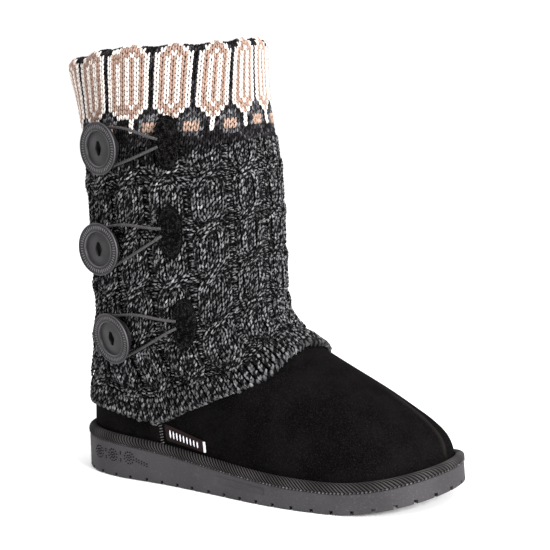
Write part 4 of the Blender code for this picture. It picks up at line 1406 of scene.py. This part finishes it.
def make_rand(material, bead_material):
    """A bead with fine slanting ribs, like a rope laid round the seat, and small beads below it."""
    points = np.array(RAND_SECTION)
    steps = walked_along(points * (RAND_WIDTH, RAND_HEIGHT))
    fine_steps = np.concatenate([[0.0, steps[1]], np.linspace(steps[2], steps[11], 23), steps[12:]])
    fine = np.linspace(0.0, 2.0 * math.pi, 2881)
    line = rand_ring(fine, 1.0, 0.3, np.zeros(fine.shape))
    walked = walked_along(line)
    along = np.linspace(0.0, walked[-1], RAND_COLUMNS, endpoint=False)
    angle = np.interp(along, walked, fine)
    count = round(walked[-1] / RAND_RIB_PITCH)
    rings, wear_and_highlight = [], []
    for step in fine_steps:
        reach, share = (float(np.interp(step, steps, points[:, k])) for k in (0, 1))
        slant = RAND_RIB_SLANT * step / RAND_RIB_PITCH
        phase = 2.0 * math.pi * (count * along / walked[-1] + slant)
        crest = (0.5 + 0.5 * np.cos(phase)) ** 0.8
        ribbed = 1.0 if steps[2] <= step <= steps[11] else 0.0
        rings.append(rand_ring(angle, reach, share, (crest - 1.0) * RAND_RIB_DEPTH * ribbed))
        # The crests of the ribs are painted lighter: a painted highlight
        lit_crest = np.clip(2.0 * crest - 1.1, 0.0, 1.0) * ribbed
        wear_and_highlight.append(lit_crest * (0.8 + 0.2 * np.sin(23.0 * angle)))
    rand = ring_tube("ribbed_rand", rings, material)
    mark_wear_and_highlight(rand, wear_and_highlight)
    # The small beads along the rand's foot are pale: painted glints where the ribs end, smaller
    # towards the heel
    at = np.interp((np.arange(count) + 0.5) / count * walked[-1], walked, fine)
    centre = rand_ring(at, 0.99, 0.03, np.zeros(count))
    ahead = rand_ring(at + 0.002, 0.99, 0.03, np.zeros(count)) - centre
    out = unit(np.cross(ahead, UP))
    size = CHANCE.uniform(0.45, 1.15, count) * (0.55 + 0.45 * smooth(np.degrees(at), 60.0, 110.0))
    centre = centre - 0.0003 * out
    length, radius = RAND_BEAD_LENGTH * size, RAND_BEAD_RADIUS * size
    beads = grains("rand_beads", centre, ahead, out, length, radius, bead_material)
    return rand, beads


def sole_ring(inset, height_of):
    """The sole's outline, drawn in by an inset, at a height worked out from the station."""
    ring = sole_edge(np.linspace(0.0, 2.0 * math.pi, SOLE_COLUMNS, endpoint=False))
    along = np.roll(ring, -1, axis=0) - np.roll(ring, 1, axis=0)
    normal = unit(np.column_stack([along[:, 1], -along[:, 0]]))
    ring = ring - normal * np.broadcast_to(inset, (SOLE_COLUMNS,))[:, None]
    return np.column_stack([ring, height_of(station_at(ring[:, 0]))]), normal


def panel_dent(station, share):
    """Depth of the bare oval panel moulded into the outer side of the sole."""
    start, end, middle, half = SOLE_PANEL
    past_end = np.abs(station - (start + end) / 2.0) - (end - start) / 2.0
    across = SOLE_LENGTH * np.clip(past_end, 0.0, None)
    away = np.hypot(across / SOLE_PANEL_ROUND, (share - middle) / half)
    return SOLE_PANEL_DEPTH * (1.0 - smooth(away, 0.86, 1.0))


def make_sole(material):
    """The unit sole, with rounded edges, a panel, notches between its lugs and a grooved tread."""
    count = SOLE_COLUMNS

    def level(share):
        def height(station):
            ground = ground_clearance(station)
            return ground + share * (seat_height(station) - ground)

        return height

    def risen(height):
        return lambda station: ground_clearance(station) + height

    def below_seat(drop):
        return lambda station: seat_height(station) - drop

    rings = [
        sole_ring(0.0011, ground_clearance)[0],
        sole_ring(0.0003, risen(0.0003))[0],
        sole_ring(0.0, risen(0.0011))[0],
    ]
    ring_station = (1.0 - np.cos(np.linspace(0.0, 2.0 * math.pi, count, endpoint=False))) / 2.0
    outer = np.arange(count) <= count // 2
    for share in (0.30, *np.linspace(0.42, 0.84, 15)):
        dent = panel_dent(ring_station, share) * outer
        rings.append(sole_ring(0.0001 + 0.0005 * share + dent, level(share))[0])
    rings += [
        sole_ring(0.0007, below_seat(0.0005))[0],
        sole_ring(0.0010, below_seat(0.0002))[0],
        sole_ring(0.0014, below_seat(0.0))[0],
    ]
    vertices = [tuple(v) for v in np.concatenate(rings)]
    faces = [tuple(f) for f in ring_faces(len(rings), count, closed=False).tolist()]
    half = count // 2
    under, top = rings[0], rings[-1]
    for ring, first, flip in ((under, 0, True), (top, (len(rings) - 1) * count, False)):
        middle = {}
        for j in range(1, half):
            point = (ring[j] + ring[count - j]) / 2.0
            station = float(station_at(point[0]))
            arch = float(smooth(station, 0.30, 0.42) * (1.0 - smooth(station, 0.48, 0.60)))
            middle[j] = len(vertices)
            vertices.append(tuple(point + np.array([0.0, 0.0, ARCH_RISE * arch if flip else 0.0])))
        for side in (1, -1):
            for j in range(half):
                a = first + (j if side == 1 else (count - j) % count)
                b = first + (j + 1 if side == 1 else count - j - 1)
                face = [a, b] + [middle[k] for k in (j + 1, j) if 0 < k < half]
                faces.append(tuple(reversed(face)) if (side == 1) == flip else tuple(face))
    sole = mesh_object("unit_sole", vertices, faces, material, SOLE_SHARP)
    cut_away(sole, tread_cutter(material), SOLE_SHARP)
    return sole


def wall_points(x, z):
    """Points of the sole's outer side wall, with the way out of it."""

    def place(at):
        station = station_at(at)
        y = middle_line(station) - plan_half(station, True) + 0.0004
        return np.stack([at, y, z], axis=-1)

    here = place(x)
    ahead = place(x + 0.0004) - place(x - 0.0004)
    out = unit(np.cross(ahead, UP))
    return here, unit(ahead), out


def make_rosettes(material):
    """Three moulded rosettes of dots on the heel's side wall, dots between them and a trail."""
    spots = []
    for centre in ROSETTE_CENTRES:
        for count, radius in ROSETTE_RINGS:
            for i in range(count):
                at = 2.0 * math.pi * (i + 0.5) / count
                z = ROSETTE_HEIGHT + radius * math.sin(at)
                spots.append((centre + radius * math.cos(at), z))
        spots.append((centre, ROSETTE_HEIGHT))
    for i in range(5):
        x = ROSETTE_CENTRES[-1] + 0.0062 + 0.0022 * i
        spots.append((x, ROSETTE_HEIGHT - 0.0006 * i))
        spots.append((x, ROSETTE_HEIGHT - 0.0016 - 0.0006 * i))
    for start, end in zip(ROSETTE_CENTRES, ROSETTE_CENTRES[1:]):
        for up in (-0.0031, -0.0018, 0.0018, 0.0031):
            spots.append(((start + end) / 2.0, ROSETTE_HEIGHT + up))
    spots = np.array(spots)
    here, ahead, out = wall_points(spots[:, 0], spots[:, 1])
    # Each dot is a small raised grain in near black: painted shade for a moulded dimple
    return grains("rosettes", here, ahead, out, DOT_LENGTH, DOT_RADIUS, material)


def tread_cutter(material):
    """Boxes for the notches round the edge and for the cross grooves of heel and ball."""
    ring, normal = sole_ring(0.0, ground_clearance)
    loop = np.vstack([ring, ring[:1]])
    walked = walked_along(loop)
    count = round(walked[-1] / LUG_PITCH)
    boxes = []
    for i in range(count):
        k = int(np.searchsorted(walked, (i + 0.5) * walked[-1] / count)) % len(ring)
        out = np.array([*normal[k], 0.0])
        side = np.array([-out[1], out[0], 0.0])
        low = np.array([ring[k][0], ring[k][1], -NOTCH_HEIGHT])
        corner = low + out * NOTCH_HEIGHT + side * NOTCH_WIDTH / 2.0
        tall = np.array([0.0, 0.0, ring[k][2] + 2.0 * NOTCH_HEIGHT])
        boxes.append((corner, -out * (NOTCH_DEPTH + NOTCH_HEIGHT), -side * NOTCH_WIDTH, tall))
    for start, end in GROOVED:
        grooves = int((end - start) * SOLE_LENGTH / LUG_PITCH)
        for i in range(grooves + 1):
            station = start + (end - start) * i / grooves
            margin = NOTCH_DEPTH + GROOVE_MARGIN
            outer = float(plan_half(station, True)) - margin
            inner = float(plan_half(station, False)) - margin
            x = station * SOLE_LENGTH - HEEL_CENTRE - GROOVE_WIDTH / 2.0
            corner = np.array([x, float(middle_line(station)) - outer, -GROOVE_DEPTH])
            tall = np.array([0.0, 0.0, float(ground_clearance(station)) + 2.0 * GROOVE_DEPTH])
            along = np.array([GROOVE_WIDTH, 0.0, 0.0])
            boxes.append((corner, along, np.array([0.0, outer + inner, 0.0]), tall))
    vertices, faces = [], []
    sides = ((0, 2, 3, 1), (4, 5, 7, 6), (0, 1, 5, 4), (2, 6, 7, 3), (0, 4, 6, 2), (1, 3, 7, 5))
    for corner, a, b, c in boxes:
        first = len(vertices)
        for i in range(8):
            vertices.append(tuple(corner + a * (i & 1) + b * ((i >> 1) & 1) + c * ((i >> 2) & 1)))
        faces += [tuple(first + v for v in face) for face in sides]
    cutter = mesh_object("tread_cutter", vertices, faces, material)
    cutter.hide_render = True
    return cutter


# Buttons, loops, patches, tag and seams


def arc_scale(angle, height):
    """Metres along the knit's face for each radian of angle."""
    step = 1e-3
    ahead = on_skin(angle + step, height, KNIT_FACE)
    behind = on_skin(angle - step, height, KNIT_FACE)
    return float(np.linalg.norm(ahead - behind)) / (2.0 * step)


def angle_over(x, height):
    """The angle on the outer side where the skin reaches x at this height."""
    back = through(height, PROFILE[:, 0], PROFILE[:, 1]) - HEEL_CENTRE
    front = through(height, PROFILE[:, 0], PROFILE[:, 2]) - HEEL_CENTRE
    return turn_of((x - back) / (front - back))


def near_face(angle, height, sideways, up, offset):
    """Points off the knit's face at distances from a centre, along it and straight up it."""
    sideways, up, offset = np.broadcast_arrays(sideways, up, offset)
    level = skin(angle + sideways / arc_scale(angle, height), np.full(sideways.shape, height))
    return on_skin(angle_over(level[..., 0], height + up), height + up, KNIT_FACE + offset)


def button_profile(drop):
    """Radius, height above the boss's foot and lightening (partly rubbed wear, partly a painted
    highlight), from the shank to the face's middle.
    """
    rim = 0.97 * BUTTON_DIAMETER / 2.0
    dish = BUTTON_DISH_DIAMETER / 2.0
    boss = BUTTON_BOSS_DIAMETER / 2.0
    shank = BUTTON_SHANK_DIAMETER / 2.0
    back = BUTTON_BOSS_HEIGHT
    face = back + BUTTON_RIM_THICKNESS
    floor = face - BUTTON_DISH_DEPTH
    return (
        (shank, -drop, 0.0),
        (shank, 0.0, 0.0),
        (boss, 0.0, 0.0),
        (boss, back, 0.0),
        (0.86 * rim, back, 0.0),
        (0.92 * rim, back + 0.12 * BUTTON_RIM_THICKNESS, 0.0),
        (0.965 * rim, back + 0.45 * BUTTON_RIM_THICKNESS, 0.0),
        (rim, face - 0.0010, 0.0),
        (0.996 * rim, face - 0.0004, 0.6),
        (0.986 * rim, face - 0.0001, 0.7),
        (0.974 * rim, face, 0.2),
        (0.955 * rim, face - 0.0002, 0.05),
        (0.935 * rim, face - 0.0004, 0.0),
        (1.12 * dish, face - 0.0004, 0.0),
        (1.09 * dish, face - 0.0002, 0.15),
        (1.06 * dish, face, 0.5),
        (1.04 * dish, face - 0.0001, 0.7),
        (1.01 * dish, face - 0.0006, 0.2),
        (0.99 * dish, floor - 0.0001, 0.0),
        (0.90 * dish, floor - 0.0003, 0.05),
        (0.70 * dish, floor + 0.0000, 0.12),
        (0.45 * dish, floor + 0.0003, 0.15),
    )


def slot_cutter(name, material):
    """An upright slot that is wider at its middle, as a block that reaches through the dish."""
    outline = []
    for i in range(SLOT_FACETS):
        around = 2.0 * math.pi * i / SLOT_FACETS
        tall = SLOT_LENGTH / 2.0 * math.sin(around)
        wide = SLOT_WIDTH / 2.0 * math.copysign(abs(math.cos(around)) ** 0.55, math.cos(around))
        wide *= 0.58 + 0.42 * math.exp(-((tall / SLOT_WAIST) ** 2))
        outline.append((wide, tall))
    points = [(x, y, z) for z in (BUTTON_BOSS_HEIGHT + 0.0002, SLOT_REACH) for x, y in outline]
    return mesh_object(name, points, capped_faces(2, SLOT_FACETS), material)


def make_ticks(name, material):
    """A ring of plain ticks on the button's face, with a longer one at every sixth place."""
    at = circle(BUTTON_TICKS)
    radial = np.column_stack([np.cos(at), np.sin(at), np.zeros(BUTTON_TICKS)])
    face = BUTTON_BOSS_HEIGHT + BUTTON_RIM_THICKNESS
    centre = radial * TICK_RING_RADIUS + np.array([0.0, 0.0, face - TICK_SINK])
    lengths = np.where(np.arange(BUTTON_TICKS) % 6 == 0, LONG_TICK_LENGTH, TICK_LENGTH)
    up = np.tile(UP, (BUTTON_TICKS, 1))
    ticks = grains(name, centre, radial, up, lengths, TICK_RADIUS, material)
    mark_wear_and_highlight(ticks, np.full(len(ticks.data.vertices), TICK_WEAR))
    return ticks


def make_button(name, height, angle, turn, lift, material):
    """A turned disc with ticks and a sunk middle, on a boss and a shank, cut by a slot."""
    profile = button_profile(BUTTON_SINK + lift)
    vertices, wear_and_highlight = [], []
    for radius, level, worn_and_lit in profile:
        for i in range(BUTTON_FACETS):
            around = 2.0 * math.pi * i / BUTTON_FACETS
            vertices.append((radius * math.cos(around), radius * math.sin(around), level))
            # The crests turn lighter, more on some sides of the disc: partly rubbed wear, partly a
            # painted highlight
            wear_and_highlight.append(worn_and_lit * (0.7 + 0.3 * math.sin(3.0 * around + 0.7)))
    faces = capped_faces(len(profile), BUTTON_FACETS)
    button = mesh_object(name, vertices, faces, material, BUTTON_SHARP)
    mark_wear_and_highlight(button, wear_and_highlight)
    cut_away(button, slot_cutter(name + "_slot_cutter", material), BUTTON_SHARP)
    ticks = make_ticks(name + "_ticks", material)
    turned = math.radians(turn)
    out = outward(angle, height)
    ahead = unit(np.array([-out[1], out[0], 0.0]))
    face_axis = unit(out * math.cos(turned) + ahead * math.sin(turned))
    level_axis = unit(np.cross(UP, face_axis))
    upright = np.cross(face_axis, level_axis)
    place = on_skin(angle, height, KNIT_FACE + SEAT_GAP + lift)
    turned_to = Matrix(np.column_stack([level_axis, upright, face_axis]).tolist()).to_4x4()
    for item in (button, ticks):
        item.data.transform(Matrix.Translation(place.tolist()) @ turned_to)
    return button, ticks


def loop_route(button_height, button_angle, patch_height, patch_angle):
    """The elastic's middle line: from under the patch to the boss, round behind it and back."""
    radius = BUTTON_BOSS_DIAMETER / 2.0 + SEAT_GAP + LOOP_DIAMETER / 2.0 + LOOP_LIFT
    patch_x = skin(patch_angle, patch_height)[0]
    away = float(angle_over(patch_x, button_height)) - button_angle
    reach = away * arc_scale(button_angle, button_height) - PATCH_WIDTH / 2.0 + LOOP_TUCK
    rise = patch_height - button_height
    offset = SEAT_GAP + LOOP_DIAMETER / 2.0 + LOOP_LIFT
    points = []
    for side in (1.0, -1.0):
        mouth = np.array([reach, rise + side * LOOP_MOUTH / 2.0])
        distance = float(np.linalg.norm(mouth))
        bearing = math.atan2(mouth[1], mouth[0])
        points.append((mouth, bearing + side * math.acos(radius / distance)))
    (upper_mouth, upper_touch), (lower_mouth, lower_touch) = points
    turn = np.linspace(upper_touch, lower_touch + 2.0 * math.pi, LOOP_STEPS)
    round_boss = radius * np.column_stack([np.cos(turn), np.sin(turn)])
    run = np.linspace(0.0, 1.0, LOOP_STEPS)[:-1, None]
    going = upper_mouth + (round_boss[0] - upper_mouth) * run
    going[:, 1] += LOOP_UPPER_BOW * np.sin(math.pi * run[:, 0] ** 1.4) ** 1.3
    coming = lower_mouth + (round_boss[-1] - lower_mouth) * run
    coming[:, 1] -= LOOP_LOWER_BOW * np.sin(math.pi * run[:, 0]) ** 1.5
    flat = np.concatenate([going, round_boss, coming[::-1]])
    low = near_face(button_angle, button_height, flat[:, 0], flat[:, 1], offset)
    high = near_face(button_angle, button_height, flat[:, 0], flat[:, 1], offset + 0.001)
    return low, unit(high - low)


def make_loop(name, line, out, material):
    """A round braided cord along the line."""
    ahead = unit(np.gradient(line, axis=0))
    side = unit(np.cross(ahead, out))
    up = np.cross(side, ahead)
    walked = walked_along(line)
    at = circle(LOOP_FACETS)
    twist = BRAID_TWIST * walked[:, None]
    braid = np.sin(3.0 * at[None] + twist) * np.sin(3.0 * at[None] - twist)
    radius = LOOP_DIAMETER / 2.0 * (1.0 + 0.07 * braid)
    rings = line[:, None] + radius[..., None] * (
        np.cos(at)[None, :, None] * side[:, None] + np.sin(at)[None, :, None] * up[:, None]
    )
    return capped_tube(name, list(rings), material)


def make_patch(name, height, angle, material, thread, pile):
    """An oval padded tab with a rolled edge, a line of stitches just inside it and a short pile."""
    around = circle(PATCH_FACETS)
    wobble = 1.0 + 0.018 * np.sin(5.0 * around + angle) + 0.012 * np.sin(13.0 * around)
    wobble = wobble + 0.010 * np.sin(23.0 * around)

    def oval(reach, at):
        up = PATCH_LENGTH / 2.0 * np.sin(at)
        wide = PATCH_WIDTH / 2.0 * np.sqrt(np.clip(1.0 - np.abs(np.sin(at)) ** 2.4, 0.0, None))
        return reach * (1.05 * np.copysign(wide, np.cos(at)) - 0.0003), reach * up

    rings = []
    for reach, share in PATCH_SECTION:
        side, up = oval(reach * wobble, around)
        offset = SEAT_GAP + share * PATCH_THICKNESS - PATCH_SINK
        rings.append(near_face(angle, height, side, up, offset))
    patch = capped_tube(name, rings, material)
    at = 2.0 * math.pi * (np.arange(PATCH_STITCHES) + 0.5) / PATCH_STITCHES
    place = []
    offset = SEAT_GAP + 0.60 * PATCH_THICKNESS - 0.0002
    for step in (0.0, 0.03):
        side, up = oval(PATCH_STITCH_REACH, at + step)
        place.append(near_face(angle, height, side, up, offset))
    ahead = place[1] - place[0]
    side, up = oval(PATCH_STITCH_REACH, at)
    out = near_face(angle, height, side, up, 0.003) - near_face(angle, height, side, up, 0.0)
    stitches = grains(
        name + "_stitches", place[0], ahead, out, PATCH_STITCH_LENGTH, PATCH_STITCH_RADIUS, thread
    )
    reach = PILE_REACH * np.sqrt(CHANCE.random(PILE_FIBRES))
    at = CHANCE.uniform(0.0, 2.0 * math.pi, PILE_FIBRES)
    side, up = oval(reach, at)
    face = SEAT_GAP + np.interp(reach, *zip(*PATCH_SECTION[:3:-1])) * PATCH_THICKNESS
    foot = near_face(angle, height, side, up, face - 0.0006)
    lean = CHANCE.normal(0.0, PILE_SPREAD, (2, PILE_FIBRES))
    rise = CHANCE.uniform(0.0002, 0.0006, PILE_FIBRES)
    side, up = side + lean[0], up - PILE_HANG + lean[1]
    tip = near_face(angle, height, side, up, face - PATCH_SINK + rise)
    return patch, stitches, make_pile(name + "_pile", foot, tip, pile)


def make_pile(name, foot, tip, material):
    """Short pointed fibres from their feet to their tips, each a slender pyramid."""
    along = unit(tip - foot)
    side = unit(np.cross(along, np.array([0.0, 0.3, 1.0])))
    other = np.cross(along, side)
    corners = []
    for j in range(3):
        at = 2.0 * math.pi * j / 3.0
        corners.append(foot + PILE_RADIUS * (math.cos(at) * side + math.sin(at) * other))
    points = np.stack([*corners, tip], axis=1)
    faces = np.array(((0, 2, 1), (0, 1, 3), (1, 2, 3), (2, 0, 3)))
    faces = repeated(faces, len(foot), 4)
    return fast_mesh(name, points.reshape(-1, 3), faces, material)


def make_tag(tape, pale):
    """A folded woven tab sewn into the side seam, with a pale bound end and no lettering."""
    rows = TAG_ROWS

    def upright(share):
        """Angle, low end and high end of the tag at a share of its length."""
        turn, low, high = (a + (b - a) * share for a, b in zip(*TAG_CORNERS))
        return math.radians(turn), low, high

    def face_ring(share, thick, low_share=0.0, high_share=1.0):
        angle, low, high = upright(share)
        shares = np.linspace(low_share, high_share, rows)
        level = low + (high - low) * shares
        bulge = 0.0005 * math.sin(math.pi * share) * np.sin(math.pi * shares)
        swell = 0.0012 + 0.0002 * np.sin(9.0 * share + 2.0 * shares) + bulge
        outer = on_skin(np.full(rows, angle), level, swell + thick / 2.0)
        inner = on_skin(np.full(rows, angle), level, swell - thick / 2.0)
        edge = np.clip(np.abs(2.0 * shares - 1.0), 0.0, 1.0) ** 8
        middle = (outer + inner) / 2.0
        outer = outer + (middle - outer) * 0.5 * edge[:, None]
        inner = inner + (middle - inner) * 0.5 * edge[:, None]
        return np.concatenate([outer, inner[::-1]])

    rings = [face_ring(t, 0.0010) for t in np.linspace(0.0, 0.975, TAG_COLUMNS)]
    tab = capped_tube("tag_tab", rings, tape)
    rings = [face_ring(t, 0.0012, 0.06, 0.94) for t in np.linspace(0.97, 1.0, 6)]
    end_piece = capped_tube("tag_end", rings, pale)
    marks, uprights, outs, lengths = [], [], [], []
    for share in np.linspace(0.14, 0.84, TAG_MARKS):
        angle, low, high = upright(share)
        level = np.array([0.34, 0.52, 0.70]) * (high - low) + low
        ends = on_skin(np.full(3, angle), level, 0.0023)
        marks.append(ends[1])
        uprights.append(ends[2] - ends[0])
        outs.append(outward(np.array([angle]), level[1:2])[0])
        lengths.append(0.52 * (high - low))
    lengths = np.array(lengths)
    marks = grains("tag_marks", marks, uprights, outs, lengths, TAG_MARK_RADIUS, pale)
    return tab, end_piece, marks


def make_seams(thread):
    """Whip stitches up both side seams, in pale thread."""
    pieces = []
    for name, sign in (("outer_seam", 1.0), ("inner_seam", -1.0)):
        angle = sign * math.radians(SEAM_ANGLE + 0.2)
        low = float(seat_under(np.array([angle]))[0]) + RAND_HEIGHT + 0.0004
        high = float(hem_height(np.array([angle]))[0])
        level = np.arange(low, high, SEAM_PITCH)
        centre = on_skin(np.full(level.shape, angle), level, 0.0007)
        ahead = on_skin(np.full(level.shape, angle + sign * 0.03), level + 0.0011, 0.0006)
        behind = on_skin(np.full(level.shape, angle - sign * 0.03), level - 0.0011, 0.0010)
        out = outward(np.full(level.shape, angle), level)
        stitches = grains(
            name, centre, ahead - behind, out, SEAM_STITCH_LENGTH, SEAM_STITCH_RADIUS, thread
        )
        pieces.append(stitches)
    return pieces


# Stage, camera and light

CAMERA_PLACE = (0.62663, -0.78651, 0.28086)
CAMERA_AZIMUTH = 33.133
CAMERA_ELEVATION = 8.803
CAMERA_ROLL = -2.729
CAMERA_LENS = 98.175
LIGHT_AIM = (0.09, 0.0, 0.13)
LIGHTS = (
    # name, place, size, power
    ("key", (2.1, -0.7, 0.9), 0.8, 95.0),
    ("top", (0.5, -0.1, 2.2), 1.2, 20.0),
    ("edge", (-1.6, -0.9, 0.7), 0.8, 7.0),
)
WORLD_STRENGTH = 1.06
FLOOR_HALF = 8.0
FLOOR_DROP = 0.0002


def make_camera():
    azimuth, elevation, roll = map(math.radians, (CAMERA_AZIMUTH, CAMERA_ELEVATION, CAMERA_ROLL))
    level = math.cos(elevation)
    back = Vector((math.sin(azimuth) * level, -math.cos(azimuth) * level, math.sin(elevation)))
    right = Vector((math.cos(azimuth), math.sin(azimuth), 0.0))
    up = back.cross(right)
    turned_right = right * math.cos(roll) + up * math.sin(roll)
    turned_up = up * math.cos(roll) - right * math.sin(roll)
    data = bpy.data.cameras.new("photo_camera")
    data.sensor_width = 36.0
    data.lens = CAMERA_LENS
    data.clip_start = 0.05
    data.clip_end = 30.0
    camera = bpy.data.objects.new("photo_camera", data)
    bpy.context.scene.collection.objects.link(camera)
    turn = Matrix((turned_right, turned_up, back)).transposed().to_4x4()
    camera.matrix_world = Matrix.Translation(CAMERA_PLACE) @ turn
    bpy.context.scene.camera = camera


def area_light(name, place, size, power):
    data = bpy.data.lights.new(name, "AREA")
    data.shape = "RECTANGLE"
    data.size = size
    data.size_y = size
    data.energy = power
    item = bpy.data.objects.new(name, data)
    bpy.context.scene.collection.objects.link(item)
    item.location = place
    item.rotation_euler = (Vector(LIGHT_AIM) - Vector(place)).to_track_quat("-Z", "Y").to_euler()


def make_stage():
    made = Nodes("pale_floor", roughness=0.6, specular=0.2)
    made.colour(made.mix(made.noise(3.0), (0.95, 0.95, 0.95), (0.97, 0.97, 0.97)))
    signs = ((-1, -1), (1, -1), (1, 1), (-1, 1))
    corners = [(x * FLOOR_HALF, y * FLOOR_HALF, 0.0) for x, y in signs]
    floor = mesh_object("floor", corners, [(0, 1, 2, 3)], made.material)
    floor.location.z = -FLOOR_DROP
    world = bpy.data.worlds.new("studio")
    world.use_nodes = True
    background = world.node_tree.nodes["Background"]
    background.inputs["Color"].default_value = (1.0, 1.0, 1.0, 1.0)
    background.inputs["Strength"].default_value = WORLD_STRENGTH
    bpy.context.scene.world = world
    for light in LIGHTS:
        area_light(*light)
    bpy.context.scene.view_settings.view_transform = "Standard"


def main():
    make_camera()
    make_stage()
    yarn = yarn_material()
    suede = suede_material()
    fleece = fleece_material()
    rubber = rubber_material("sole_foam", (0.033, 0.031, 0.033), (0.043, 0.040, 0.043), 0.66)
    # Near-black dots: painted shade for the moulded dimples of the rosettes
    dots = rubber_material("sole_dots_painted_shade", (0.002, 0.002, 0.002), (0.003, 0.003, 0.003), 0.85)
    # The rand's rubber, painted lighter on its rib crests as a highlight
    bead = rubber_material(
        "rand_bead", (0.0030, 0.0027, 0.0028), (0.0045, 0.0041, 0.0042), 0.85,
        worn_and_lit=(0.076, 0.072, 0.071), shine=0.03,
    )
    # Pale beads along the rand's foot: painted glints
    painted_glint_bead = rubber_material("painted_glint_bead", (0.060, 0.058, 0.060), (0.110, 0.106, 0.110), 0.60)
    plastic = button_material()
    elastic = elastic_material()
    tab = suede_material("patch_suede", 0.7, 0.6)
    pile = thread_material(
        "patch_pile", (0.0004, 0.0004, 0.0004), (0.034, 0.031, 0.033), spread=500.0, shine=0.05
    )
    black_thread = thread_material("black_thread", (0.003, 0.003, 0.003), (0.010, 0.0095, 0.010))
    pale_thread = thread_material("pale_thread", (0.020, 0.019, 0.019), (0.180, 0.172, 0.172))
    tape = tape_material("brown_tape", (0.006, 0.003, 0.003), (0.022, 0.012, 0.011))
    pale = tape_material("pale_tape", (0.55, 0.55, 0.60), (0.80, 0.80, 0.84))

    finish_piece(make_sole(rubber), "sole_rubber", "outsole")
    finish_piece(make_rosettes(dots), "sole_rubber")
    rand, beads = make_rand(bead, painted_glint_bead)
    finish_piece(rand, "rand_rubber", "rand")
    finish_piece(beads, "rand_rubber")
    finish_piece(make_upper(suede, fleece), "faux_suede", "upper")
    for piece in make_seams(pale_thread):
        finish_piece(piece, "faux_suede")
    for piece in make_loose_ends(pale_thread):
        finish_piece(piece, "marled_knit")
    backing = make_backing(backing_material())
    finish_piece(backing, "marled_knit", "knit_sleeve")
    for piece in [*make_body(yarn), make_hem(yarn), make_band(yarn), make_rim(yarn)]:
        finish_piece(piece, "marled_knit")
    for i, row in enumerate(FASTENINGS, start=1):
        button_share, button_turn, facing, lift, patch_share, patch_turn = row
        button_at = (button_share * COLLAR_HEIGHT, math.radians(button_turn))
        patch_at = (patch_share * COLLAR_HEIGHT, math.radians(patch_turn))
        button, ticks = make_button(f"turned_button_{i}", *button_at, facing, lift, plastic)
        finish_piece(button, "button_plastic", f"button_{i}")
        finish_piece(ticks, "button_plastic")
        loop = make_loop(f"braided_loop_{i}", *loop_route(*button_at, *patch_at), elastic)
        finish_piece(loop, "elastic_cord", f"loop_{i}")
        patch, stitches, fibres = make_patch(
            f"padded_patch_{i}", *patch_at, tab, black_thread, pile
        )
        finish_piece(patch, "patch_suede", f"patch_{i}")
        for piece in (stitches, fibres):
            finish_piece(piece, "patch_suede")
    tag, *tag_parts = make_tag(tape, pale)
    finish_piece(tag, "tag_tape", "side_tag")
    for piece in tag_parts:
        finish_piece(piece, "tag_tape")
    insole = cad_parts["insole"]
    insole.data.materials.clear()
    insole.data.materials.append(fleece)


main()
